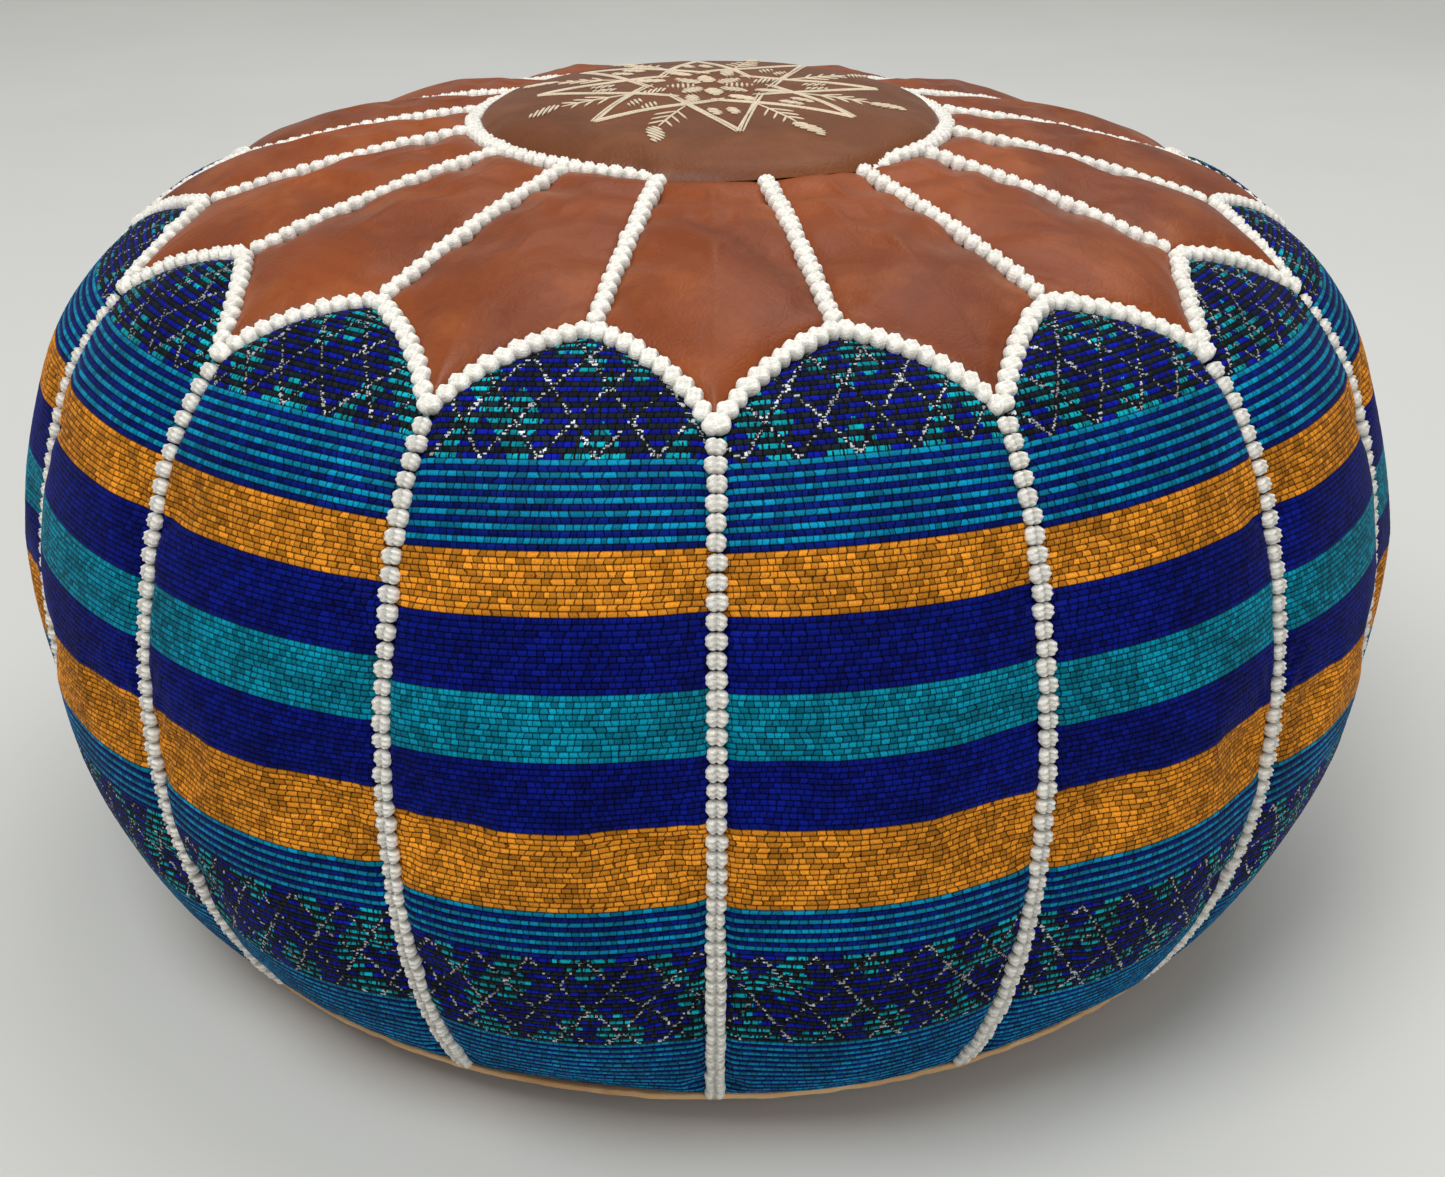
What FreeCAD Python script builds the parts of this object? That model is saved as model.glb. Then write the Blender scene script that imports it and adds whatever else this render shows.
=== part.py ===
"""Moroccan pouf: a stuffed round floor cushion of leather and brocade, 540 mm across and about 320 mm high.

The cover is a leather medallion, sixteen leather petals and sixteen brocade side panels, joined along corded
seams.  Below them a welt joins the cover to a leather base in two half moons, which a zip closes.  The stuffing
lies inside in a sack of its own.
Frame: millimetres, +Z up, origin at the centre of the base on the floor, front towards -Y.
"""
import FreeCAD
import Part
import math
import os
import Sketcher
from FreeCAD import Placement, Rotation, Vector

# ---------------------------------------------------------------- driving dimensions
DIMENSIONS = {
    # outline of the cover: a chain of tangent arcs in a vertical plane through the axis
    "panel_count": 16,
    "equator_radius": 270,
    "equator_height": 145,
    "lower_radius": 213,
    "upper_radius": 244,
    "shoulder_radius": 95,
    "crown_radius": 650,
    "crown_height": 316,
    "hem_height": 20,
    # plies
    "leather_thick": 1.8,
    "brocade_thick": 1.8,
    "sack_thick": 0.8,
    "ply_gap": 0.4,
    # seams
    "cord_width": 6,
    "cord_proud": 2.5,
    "ring_radius": 92,
    "peak_radius": 195,
    "valley_radius": 229,
    "arch_radius": 150,
    # embroidery on the medallion
    "thread_proud": 0.8,
    "star_points": 8,
    "star_radius": 64,
    "star_waist": 26,
    "star_band": 5,
    "leaf_inner": 68,
    "leaf_outer": 82,
    "leaf_width": 9,
    # base
    "base_thick": 2,
    "base_flat_radius": 190,
    "welt_thick": 2.4,
    "welt_depth": 2.4,
    "welt_proud": 1.2,
    # zip across the base
    "zip_length": 340,
    "zip_end_gap": 10,
    "zip_slot": 18,
    "hem_wall": 2,
    "hem_rise": 8,
    "tape_thick": 0.6,
    "tape_lap": 5,
    "chain_gap": 1.2,
    "tooth_pitch": 4,
    "tooth_thick": 2.4,
    "tooth_height": 2.2,
    "tooth_reach": 1.4,
    "tooth_bite": 0.5,
    "stop_length": 3,
    "slider_length": 12,
    "slider_width": 10,
    "slider_plate": 1.2,
    "slider_gap": 3.2,
    "slider_lip": 1,
    "slider_post": 0.6,
    "slider_stop_gap": 10,
    "bridge_width": 2.4,
    "bridge_length": 9,
    "bridge_beam": 1,
    "bridge_leg": 1.2,
    "bridge_opening": 2.4,
    "pull_length": 24,
    "pull_width": 6.8,
    "pull_thick": 1.2,
    "pull_clearance": 0.4,
    "pull_eye": 5.6,
    # stuffing
    "zip_room_width": 34,
    "zip_room_height": 16,
}

doc = FreeCAD.newDocument("Pouf")
sheet = doc.addObject("Spreadsheet::Sheet", "sheet")
for row, (alias, number) in enumerate(DIMENSIONS.items(), start=1):
    sheet.set(f"A{row}", alias)
    sheet.set(f"B{row}", str(number))
    sheet.setAlias(f"B{row}", alias)
doc.recompute()

NODES = []  # the objects that are sub-parts, in the order in which they are written
REACH = 400.0  # further than any point of the pouf from its axis

# expressions over the sheet that several sub-parts share
PITCH = "(360 / sheet.panel_count)"
HALF = "(180 / sheet.panel_count)"
LOW_X = "(sheet.equator_radius - sheet.lower_radius)"
HEM_DROP = "(sheet.equator_height - sheet.hem_height)"
HEM_RADIUS = f"({LOW_X} + sqrt(sheet.lower_radius ^ 2 - {HEM_DROP} ^ 2))"
RIM_HEIGHT = "(sheet.hem_height - sheet.welt_thick)"
SLOT_X = "(sheet.zip_length / 2 + sheet.zip_end_gap)"
SLOT_Y = "(sheet.zip_slot / 2)"
TAPE_MIDDLE = "(sheet.hem_rise + sheet.tape_thick / 2)"
SLIDER_X = "(sheet.zip_length / 2 - sheet.slider_stop_gap - sheet.slider_length / 2)"
ALL_ARCS = ["lower", "upper", "shoulder", "crown"]
TOP_ARCS = ["upper", "shoulder", "crown"]


def value(expression):
    """The number that an expression over the sheet's cells gives."""
    return float(sheet.evalExpression(expression))


def cell(alias):
    return value(f"sheet.{alias}")


# ---------------------------------------------------------------- helpers: bodies, sketches and features
def new_body(name, node=True):
    body = doc.addObject("PartDesign::Body", name)
    body.Label = name
    body.AllowCompound = True
    if node:
        NODES.append(body)
    return body


def origin_feature(body, role):
    return next(feature for feature in body.Origin.OriginFeatures if feature.Role == role)


def new_sketch(body, name, plane="XY_Plane", lift=None):
    """A sketch on one of the body's own origin planes, raised by the expression lift."""
    sketch = body.newObject("Sketcher::SketchObject", f"{body.Name}_{name}")
    sketch.AttachmentSupport = [(origin_feature(body, plane), "")]
    sketch.MapMode = "FlatFace"
    if lift is not None:
        sketch.setExpression("AttachmentOffset.Base.z", lift)
    return sketch


def bind(sketch, kind, *where):
    """Adds a constraint whose value is the expression given last."""
    *places, expression = where
    number = sketch.addConstraint(Sketcher.Constraint(kind, *places, value(expression)))
    sketch.setExpression(f"Constraints[{number}]", expression)


def tie(sketch, kind, *where):
    sketch.addConstraint(Sketcher.Constraint(kind, *where))


def fix_point(sketch, geometry, end, x, y):
    """Places a point of the sketch at two expressions; a point on an axis is tied to the axis."""
    if x == "0":
        tie(sketch, "PointOnObject", geometry, end, -2)
    else:
        bind(sketch, "DistanceX", -1, 1, geometry, end, x)
    if y == "0":
        tie(sketch, "PointOnObject", geometry, end, -1)
    else:
        bind(sketch, "DistanceY", -1, 1, geometry, end, y)


def polygon(sketch, corners):
    """A closed polygon whose corners are pairs of expressions."""
    places = [Vector(value(x), value(y), 0) for x, y in corners]
    first = sketch.GeometryCount
    count = len(places)
    for i in range(count):
        sketch.addGeometry(Part.LineSegment(places[i], places[(i + 1) % count]), False)
    for i in range(count):
        tie(sketch, "Coincident", first + i, 2, first + (i + 1) % count, 1)
    for i, (x, y) in enumerate(corners):
        fix_point(sketch, first + i, 1, x, y)


def rectangle(sketch, left, right, low, high):
    polygon(sketch, [(left, low), (right, low), (right, high), (left, high)])


def pad(body, sketch, name, length, middle=False):
    feature = body.newObject("PartDesign::Pad", f"{body.Name}_{name}")
    feature.Profile = sketch
    feature.setExpression("Length", length)
    feature.Midplane = middle
    return feature


def pocket_up(body, sketch, name, depth=REACH):
    """Cuts the sketch's region out of the body, from the sketch's plane along its normal."""
    feature = body.newObject("PartDesign::Pocket", f"{body.Name}_{name}")
    feature.Profile = sketch
    feature.Reversed = True
    if isinstance(depth, str):
        feature.setExpression("Length", depth)
    else:
        feature.Length = depth
    return feature


def revolve(body, sketch, name, angle):
    """Turns the sketch about the body's Z axis, half of the angle to each side of it."""
    feature = body.newObject("PartDesign::Revolution", f"{body.Name}_{name}")
    feature.Profile = sketch
    feature.ReferenceAxis = (sketch, ["V_Axis"])
    feature.Midplane = True
    feature.setExpression("Angle", angle)
    return feature


def face_panel(body, steps):
    """Turns a body about Z so that its +X axis lies steps panel pitches on from the front."""
    body.Placement = Placement(Vector(), Rotation(Vector(0, 0, 1), value(f"{steps} * {PITCH} - 90")))
    body.setExpression("Placement.Rotation.Angle", f"{steps} * {PITCH} - 90")


def all_round(body, count="sheet.panel_count", features=None):
    """Repeats the given features, or else the body's whole shape, round the Z axis."""
    doc.recompute()
    pattern = body.newObject("PartDesign::PolarPattern", f"{body.Name}_round")
    pattern.Axis = (origin_feature(body, "Z_Axis"), [""])
    pattern.Angle = 360
    pattern.setExpression("Occurrences", count)
    if features:
        pattern.Originals = features
    else:
        pattern.TransformMode = "Whole shape"
    body.Tip = pattern


# ---------------------------------------------------------------- the outline of the cover
def outline(inset):
    """Centre and radius of each of the outline's arcs, drawn in by inset millimetres."""
    side = Vector(value("sheet.equator_radius - sheet.upper_radius"), cell("equator_height"), 0)
    crown = Vector(0, value("sheet.crown_height - sheet.crown_radius"), 0)
    # the shoulder touches the upper side arc and the crown from inside, so its centre lies on two circles
    near = value("sheet.upper_radius - sheet.shoulder_radius")
    far = value("sheet.crown_radius - sheet.shoulder_radius")
    gap = crown - side
    along = (near**2 - far**2 + gap.Length**2) / (2 * gap.Length)
    across = math.sqrt(near**2 - along**2)
    forward = Vector(gap).normalize()
    shoulder = side + forward * along + Vector(-forward.y, forward.x, 0) * across
    return {
        "lower": (Vector(value(LOW_X), cell("equator_height"), 0), cell("lower_radius") - inset),
        "upper": (side, cell("upper_radius") - inset),
        "shoulder": (shoulder, cell("shoulder_radius") - inset),
        "crown": (crown, cell("crown_radius") - inset),
    }


def arc_angles(arcs, name, names, low, high):
    """Start and end angle of one arc of the chain."""
    centre, radius = arcs[name]
    above = (arcs["shoulder"][0] - arcs["upper"][0])
    inward = (arcs["shoulder"][0] - arcs["crown"][0])
    joint_low = math.atan2(above.y, above.x)
    joint_high = math.atan2(inward.y, inward.x)
    if name == "lower":
        return math.asin((low - centre.y) / radius), 0.0
    if name == "upper":
        return 0.0, joint_low
    if name == "shoulder":
        return joint_low, joint_high
    return joint_high, math.acos((high - centre.x) / radius)


def tie_arc(sketch, name, number, low):
    """Ties one arc's centre, and the lower arc's ends, to the sheet."""
    if name == "lower":
        bind(sketch, "DistanceY", -1, 1, number, 2, "sheet.equator_height")
        bind(sketch, "DistanceY", -1, 1, number, 1, low)
    if name == "upper":
        fix_point(sketch, number, 3, "sheet.equator_radius - sheet.upper_radius", "sheet.equator_height")
    if name == "crown":
        tie(sketch, "PointOnObject", number, 3, -2)
        bind(sketch, "DistanceY", -1, 1, number, 3, "sheet.crown_height - sheet.crown_radius")


def chain(sketch, names, inset, low, high):
    """Draws neighbouring arcs of the outline, drawn in by the expression inset, from the bottom up.

    low is the height at which the first arc starts, when that is the lower or the upper one.  high is the
    radius at which the crown ends.  Returns the numbers of the first and the last arc.
    """
    arcs = outline(value(inset))
    numbers = []
    for name in names:
        centre, radius = arcs[name]
        angles = arc_angles(arcs, name, names, value(low), value(high))
        circle = Part.Circle(centre, Vector(0, 0, 1), radius)
        number = sketch.addGeometry(Part.ArcOfCircle(circle, *angles), False)
        if numbers:
            tie(sketch, "Tangent", numbers[-1], 2, number, 1)
        bind(sketch, "Radius", number, f"sheet.{name}_radius - ({inset})")
        tie_arc(sketch, name, number, low)
        if name == "upper" and not numbers:
            bind(sketch, "DistanceY", -1, 1, number, 1, low)
        numbers.append(number)
    if high == "0":
        tie(sketch, "PointOnObject", numbers[-1], 2, -2)
    else:
        bind(sketch, "DistanceX", -1, 1, numbers[-1], 2, high)
    return numbers[0], numbers[-1]


def join(sketch, one, one_end, other, other_end):
    """A straight line between the ends of two curves."""
    ends = sketch.getPoint(one, one_end), sketch.getPoint(other, other_end)
    line = sketch.addGeometry(Part.LineSegment(*ends), False)
    tie(sketch, "Coincident", line, 1, one, one_end)
    tie(sketch, "Coincident", line, 2, other, other_end)


def shell_section(body, name, arcs, proud, thick, low, high):
    """A strip of the cover's section, from proud outside the outline to thick inside it."""
    sketch = new_sketch(body, name, "XZ_Plane")
    outer = chain(sketch, arcs, f"0 - {proud}", low, high)
    inner = chain(sketch, arcs, thick, low, high)
    join(sketch, outer[0], 1, inner[0], 1)
    join(sketch, outer[1], 2, inner[1], 2)
    return sketch


# ---------------------------------------------------------------- helpers: the seam lines in plan
HALF_CORD = "(sheet.cord_width / 2)"
RING_OUTER = f"(sheet.ring_radius + {HALF_CORD})"
RING_INNER = f"(sheet.ring_radius - {HALF_CORD})"


def cut_to_arch(body, inside, at_peak, offset, lift=None):
    """Cuts the body, seen from above, along the arch seam that spans one panel pitch.

    inside takes away what lies nearer the axis, else what lies further out.  at_peak puts the arch's peak on the
    body's +X axis, else the valley between two arches.  offset moves the cut towards the axis.
    """
    sketch = new_sketch(body, f"arch_{'inside' if inside else 'outside'}", lift=lift)
    near, far = ("peak", "valley") if at_peak else ("valley", "peak")
    axis_point = Vector(cell(f"{near}_radius"), 0, 0)
    far_x = f"sheet.{far}_radius * cos({HALF})"
    far_y = f"sheet.{far}_radius * sin({HALF})"
    radius = f"sheet.arch_radius + {offset}"
    ends = []
    for side in (1, -1):
        ray_point = Vector(value(far_x), side * value(far_y), 0)
        centre = arch_centre(axis_point, ray_point)
        guide = sketch.addGeometry(arc_between(centre, axis_point, ray_point, side), True)
        ends_on_axis, ends_on_ray = (1, 2) if arc_runs_outward(centre, axis_point, ray_point) else (2, 1)
        fix_point(sketch, guide, ends_on_axis, f"sheet.{near}_radius", "0")
        fix_point(sketch, guide, ends_on_ray, far_x, f"{side} * {far_y}")
        bind(sketch, "Radius", guide, "sheet.arch_radius")
        ray = sketch.addGeometry(Part.LineSegment(Vector(), ray_point), True)
        tie(sketch, "Coincident", ray, 1, -1, 1)
        tie(sketch, "Coincident", ray, 2, guide, ends_on_ray)
        start = meet_line(centre, value(radius), Vector(1, 0, 0), axis_point)
        end = meet_line(centre, value(radius), Vector(ray_point).normalize(), ray_point)
        edge = sketch.addGeometry(arc_between(centre, start, end, side), False)
        tie(sketch, "Coincident", edge, 3, guide, 3)
        if side > 0:
            bind(sketch, "Radius", edge, radius)
            tie(sketch, "PointOnObject", edge, ends_on_axis, -1)
        else:
            tie(sketch, "Coincident", edge, ends_on_axis, ends[0][0], ends[0][1])
        tie(sketch, "PointOnObject", edge, ends_on_ray, ray)
        ends.append((edge, ends_on_axis, ends_on_ray, end))
    if inside:
        corner_x, corner_y = "0 - sheet.cord_width", f"sheet.ring_radius * tan({PITCH})"
    else:
        corner_x, corner_y = str(REACH), f"{REACH} * tan({PITCH})"
    corners = [Vector(value(corner_x), side * value(corner_y), 0) for side in (1, -1)]
    first = sketch.addGeometry(Part.LineSegment(ends[0][3], corners[0]), False)
    middle = sketch.addGeometry(Part.LineSegment(corners[0], corners[1]), False)
    last = sketch.addGeometry(Part.LineSegment(corners[1], ends[1][3]), False)
    tie(sketch, "Coincident", first, 1, ends[0][0], ends[0][2])
    tie(sketch, "Coincident", first, 2, middle, 1)
    tie(sketch, "Coincident", middle, 2, last, 1)
    tie(sketch, "Coincident", last, 2, ends[1][0], ends[1][2])
    fix_point(sketch, first, 2, corner_x, corner_y)
    fix_point(sketch, last, 1, corner_x, f"0 - {corner_y}")
    pocket_up(body, sketch, f"arch_cut_{'inside' if inside else 'outside'}")


def arch_centre(one, other):
    """Centre of the arch's arc through two points in plan, on the side away from the axis."""
    middle = (one + other) * 0.5
    chord = other - one
    across = Vector(-chord.y, chord.x, 0).normalize()
    if across.dot(middle) < 0:
        across = across * -1
    return middle + across * math.sqrt(cell("arch_radius") ** 2 - (chord.Length / 2) ** 2)


def meet_line(centre, radius, direction, near):
    """Where the line from the axis along direction crosses a circle, at the crossing nearest to a point."""
    along = centre.dot(direction)
    reach = math.sqrt(radius**2 - (centre - direction * along).Length ** 2)
    crossings = [direction * (along - reach), direction * (along + reach)]
    return min(crossings, key=lambda point: point.distanceToPoint(near))


def arc_runs_outward(centre, start, end):
    """True when the arc from start to end runs anticlockwise about its centre."""
    return (start - centre).cross(end - centre).z > 0


def arc_between(centre, start, end, side):
    """The short arc about centre through both points."""
    angles = [math.atan2(point.y - centre.y, point.x - centre.x) for point in (start, end)]
    if not arc_runs_outward(centre, start, end):
        angles.reverse()
    if angles[1] < angles[0]:
        angles[1] += 2 * math.pi
    circle = Part.Circle(centre, Vector(0, 0, 1), (start - centre).Length)
    return Part.ArcOfCircle(circle, *angles)


def cut_between_seams(body, lift="0 - 1"):
    """Cuts both sides of a wedge back from its seam planes by half of a cord's width."""
    reach = str(REACH)
    edge_x = f"{reach} * cos({HALF}) + {HALF_CORD} * sin({HALF})"
    edge_y = f"{reach} * sin({HALF}) - {HALF_CORD} * cos({HALF})"
    past_x = f"{reach} * cos({PITCH})"
    past_y = f"{reach} * sin({PITCH})"
    for side in (1, -1):
        sketch = new_sketch(body, f"seam_{'left' if side > 0 else 'right'}", lift=lift)
        corners = [(f"{HALF_CORD} / sin({HALF})", "0"), (edge_x, f"{side} * ({edge_y})"),
                   (past_x, f"{side} * ({past_y})"), ("0 - sheet.cord_width", "0")]
        polygon(sketch, corners)
        pocket_up(body, sketch, f"seam_cut_{'left' if side > 0 else 'right'}")


def cut_to_strip(body, lift="0 - 1"):
    """Leaves only what lies within half of a cord's width of the body's XZ plane."""
    for side in (1, -1):
        sketch = new_sketch(body, f"edge_{'left' if side > 0 else 'right'}", lift=lift)
        low, high = f"{side} * {HALF_CORD}", f"{side * REACH}"
        rectangle(sketch, "0 - sheet.cord_width", str(REACH), low, high)
        pocket_up(body, sketch, f"edge_cut_{'left' if side > 0 else 'right'}")


# ---------------------------------------------------------------- the cover
def make_petal(number):
    """A leather petal: the top wedge over one side seam, from the medallion's seam to its tip."""
    body = new_body(f"petal_{number + 1:02d}")
    sketch = shell_section(body, "section", TOP_ARCS, "0", "sheet.leather_thick", "sheet.equator_height", RING_OUTER)
    revolve(body, sketch, "shell", PITCH)
    cut_between_seams(body)
    cut_to_arch(body, inside=False, at_peak=False, offset=HALF_CORD)
    face_panel(body, number)


def make_side_panel(number):
    """A brocade side panel: from the hem up to its arch, between two side seams."""
    body = new_body(f"side_panel_{number + 1:02d}")
    arcs = ALL_ARCS
    sketch = shell_section(body, "section", arcs, "0", "sheet.brocade_thick", "sheet.hem_height", RING_OUTER)
    revolve(body, sketch, "shell", PITCH)
    cut_between_seams(body)
    cut_to_arch(body, inside=True, at_peak=True, offset=f"(0 - {HALF_CORD})", lift="sheet.equator_height")
    face_panel(body, number + 0.5)


def make_medallion():
    """The round leather piece in the middle of the top."""
    body = new_body("medallion")
    sketch = new_sketch(body, "section", "XZ_Plane")
    outer = chain(sketch, ["crown"], "0", RING_INNER, "0")
    inner = chain(sketch, ["crown"], "sheet.leather_thick", RING_INNER, "0")
    for number in (outer[0], inner[0]):
        bind(sketch, "DistanceX", -1, 1, number, 1, RING_INNER)
    join(sketch, outer[0], 1, inner[0], 1)
    join(sketch, outer[1], 2, inner[1], 2)
    revolve(body, sketch, "disc", "360")


def make_medallion_cord():
    body = new_body("medallion_seam_cord")
    sketch = new_sketch(body, "section", "XZ_Plane")
    outer = chain(sketch, ["crown"], "0 - sheet.cord_proud", RING_OUTER, RING_INNER)
    inner = chain(sketch, ["crown"], "sheet.leather_thick", RING_OUTER, RING_INNER)
    for number in (outer[0], inner[0]):
        bind(sketch, "DistanceX", -1, 1, number, 1, RING_OUTER)
    join(sketch, outer[0], 1, inner[0], 1)
    join(sketch, outer[1], 2, inner[1], 2)
    revolve(body, sketch, "ring", "360")


def make_petal_cords():
    """The cords between neighbouring petals, from the medallion's seam to the peaks of the arches."""
    body = new_body("petal_seam_cords")
    proud, thick = "sheet.cord_proud", "sheet.leather_thick"
    sketch = shell_section(body, "section", TOP_ARCS, proud, thick, "sheet.equator_height", RING_OUTER)
    revolve(body, sketch, "shell", PITCH)
    cut_to_strip(body)
    cut_to_arch(body, inside=False, at_peak=True, offset=HALF_CORD)
    all_round(body)
    face_panel(body, 0.5)


def make_arch_cords():
    """The zigzag cord where the petals meet the side panels."""
    body = new_body("arch_seam_cord")
    proud, thick = "sheet.cord_proud", "sheet.leather_thick"
    sketch = shell_section(body, "section", TOP_ARCS, proud, thick, "sheet.equator_height", RING_OUTER)
    revolve(body, sketch, "shell", PITCH)
    cut_to_arch(body, inside=True, at_peak=True, offset=HALF_CORD)
    cut_to_arch(body, inside=False, at_peak=True, offset=f"(0 - {HALF_CORD})")
    all_round(body)
    face_panel(body, 0.5)


def make_side_cords():
    """The cords between neighbouring side panels, from the hem to the valleys of the arches."""
    body = new_body("side_seam_cords")
    proud, thick = "sheet.cord_proud", "sheet.brocade_thick"
    sketch = shell_section(body, "section", ALL_ARCS, proud, thick, "sheet.hem_height", RING_OUTER)
    revolve(body, sketch, "shell", PITCH)
    cut_to_strip(body)
    cut_to_arch(body, inside=True, at_peak=False, offset=f"(0 - {HALF_CORD})", lift="sheet.equator_height")
    all_round(body)
    face_panel(body, 0)


def make_embroidery():
    """Raised silk embroidery on the medallion: a star outlined by a band, and a leaf off each of its notches."""
    cap = new_body("embroidery_cap", node=False)
    section = new_sketch(cap, "section", "XZ_Plane")
    outer = chain(section, ["crown"], "0 - sheet.thread_proud", RING_INNER, "0")
    inner = chain(section, ["crown"], "0", RING_INNER, "0")
    for number in (outer[0], inner[0]):
        bind(section, "DistanceX", -1, 1, number, 1, RING_INNER)
    join(section, outer[0], 1, inner[0], 1)
    join(section, outer[1], 2, inner[1], 2)
    revolve(cap, section, "disc", "360")
    plan = new_body("embroidery_plan", node=False)
    step = "(180 / sheet.star_points)"
    waist_x, waist_y = f"sheet.star_waist * cos({step})", f"sheet.star_waist * sin({step})"
    inner_waist_x = f"(sheet.star_waist - sheet.star_band) * cos({step})"
    inner_waist_y = f"(sheet.star_waist - sheet.star_band) * sin({step})"
    sketch = new_sketch(plan, "star")
    polygon(sketch, [(waist_x, f"0 - {waist_y}"), ("sheet.star_radius", "0"), (waist_x, waist_y),
                     (inner_waist_x, inner_waist_y), ("sheet.star_radius - 3 * sheet.star_band", "0"),
                     (inner_waist_x, f"0 - {inner_waist_y}")])
    ray = pad(plan, sketch, "ray", "sheet.crown_height * 2")
    leaf = new_sketch(plan, "leaf")
    middle = "(sheet.leaf_inner + sheet.leaf_outer) / 2"
    polygon(leaf, [("sheet.leaf_inner", "0"), (middle, "0 - sheet.leaf_width / 2"), ("sheet.leaf_outer", "0"),
                   (middle, "sheet.leaf_width / 2")])
    leaf_pad = pad(plan, leaf, "leaf_pad", "sheet.crown_height * 2")
    all_round(plan, "sheet.star_points", [ray, leaf_pad])
    raised = doc.addObject("Part::MultiCommon", "medallion_embroidery")
    raised.Label = "medallion_embroidery"
    raised.Shapes = [cap, plan]
    NODES.append(raised)


# ---------------------------------------------------------------- the base
def make_welt():
    """The leather strip sewn in between the side panels' hem and the base, its raw edge showing."""
    body = new_body("base_welt")
    sketch = new_sketch(body, "section", "XZ_Plane")
    inner = f"{HEM_RADIUS} - sheet.welt_depth"
    outer = f"{HEM_RADIUS} + sheet.welt_proud"
    rectangle(sketch, inner, outer, RIM_HEIGHT, "sheet.hem_height")
    revolve(body, sketch, "ring", "360")


def base_section(body, name):
    """Half of the base's section: flat on the floor, then curved up to the welt."""
    sketch = new_sketch(body, name, "YZ_Plane")
    flat, rim = cell("base_flat_radius"), value(HEM_RADIUS)
    height, thick = value(RIM_HEIGHT), cell("base_thick")
    radius = ((rim - flat) ** 2 + height**2) / (2 * height)
    centre = Vector(flat, radius, 0)
    down = -math.pi / 2
    rim_angle = math.asin((height - radius) / radius)
    inner_angle = math.asin((height - radius) / (radius - thick))
    arcs = []
    for size, end_angle in ((radius, rim_angle), (radius - thick, inner_angle)):
        circle = Part.Circle(centre, Vector(0, 0, 1), size)
        arcs.append(sketch.addGeometry(Part.ArcOfCircle(circle, down, end_angle), False))
    outer, inner = arcs
    floor = sketch.addGeometry(Part.LineSegment(Vector(), Vector(flat, 0, 0)), False)
    top = sketch.addGeometry(Part.LineSegment(Vector(0, thick, 0), Vector(flat, thick, 0)), False)
    tie(sketch, "Coincident", floor, 1, -1, 1)
    tie(sketch, "Tangent", floor, 2, outer, 1)
    fix_point(sketch, floor, 2, "sheet.base_flat_radius", "0")
    fix_point(sketch, outer, 2, HEM_RADIUS, RIM_HEIGHT)
    fix_point(sketch, top, 1, "0", "sheet.base_thick")
    tie(sketch, "Horizontal", top)
    tie(sketch, "Coincident", inner, 3, outer, 3)
    tie(sketch, "Tangent", top, 2, inner, 1)
    bind(sketch, "DistanceY", -1, 1, inner, 2, RIM_HEIGHT)
    join(sketch, floor, 1, top, 1)
    join(sketch, outer, 2, inner, 2)
    return sketch


def make_base_panel(name, steps):
    """A half moon of the leather base, with a turned-in hem around its half of the zip's slot."""
    body = new_body(name)
    revolve(body, base_section(body, "section"), "half_moon", "180")
    wall_x, wall_y = f"{SLOT_X} + sheet.hem_wall", f"{SLOT_Y} + sheet.hem_wall"
    hem = new_sketch(body, "hem")
    rectangle(hem, f"0 - ({wall_x})", wall_x, "0", wall_y)
    pad(body, hem, "hem_wall", "sheet.hem_rise")
    slot = new_sketch(body, "slot")
    rectangle(slot, f"0 - {SLOT_X}", SLOT_X, "0", SLOT_Y)
    pocket_up(body, slot, "slot_cut")
    turn_half(body, steps)


def turn_half(body, steps):
    """Turns a body by half turns about Z."""
    body.Placement = Placement(Vector(), Rotation(Vector(0, 0, 1), steps * 180))


# ---------------------------------------------------------------- the zip
CHAIN_EDGE = "(sheet.chain_gap / 2)"


def make_tape(name, steps):
    """A zip tape, sewn on top of its panel's turned-in hem."""
    body = new_body(name)
    sketch = new_sketch(body, "outline", lift="sheet.hem_rise")
    end = f"{SLOT_X} + sheet.hem_wall"
    rectangle(sketch, f"0 - ({end})", end, f"{CHAIN_EDGE} + sheet.tooth_bite", f"{SLOT_Y} + sheet.tape_lap")
    pad(body, sketch, "tape", "sheet.tape_thick")
    turn_half(body, steps)


def make_teeth(name, steps):
    """A row of zip teeth, each clipped over the tape's inner edge."""
    body = new_body(name)
    sketch = new_sketch(body, "tooth", "YZ_Plane", lift="0 - sheet.zip_length / 2")
    low = f"{TAPE_MIDDLE} - sheet.tooth_height / 2"
    high = f"{TAPE_MIDDLE} + sheet.tooth_height / 2"
    tape_low, tape_high = "sheet.hem_rise", "sheet.hem_rise + sheet.tape_thick"
    back, bite = f"{CHAIN_EDGE} + sheet.tooth_reach", f"{CHAIN_EDGE} + sheet.tooth_bite"
    polygon(sketch, [
        (CHAIN_EDGE, low), (back, low), (back, tape_low), (bite, tape_low),
        (bite, tape_high), (back, tape_high), (back, high), (CHAIN_EDGE, high),
    ])
    tooth = pad(body, sketch, "tooth_pad", "sheet.tooth_thick")
    row = body.newObject("PartDesign::LinearPattern", f"{name}_row")
    row.Direction = (origin_feature(body, "X_Axis"), [""])
    row.Mode = "Spacing"
    row.setExpression("Offset", "sheet.tooth_pitch")
    row.setExpression("Occurrences", "floor(sheet.zip_length / sheet.tooth_pitch)")
    row.Originals = [tooth]
    body.Tip = row
    turn_half(body, steps)


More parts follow.
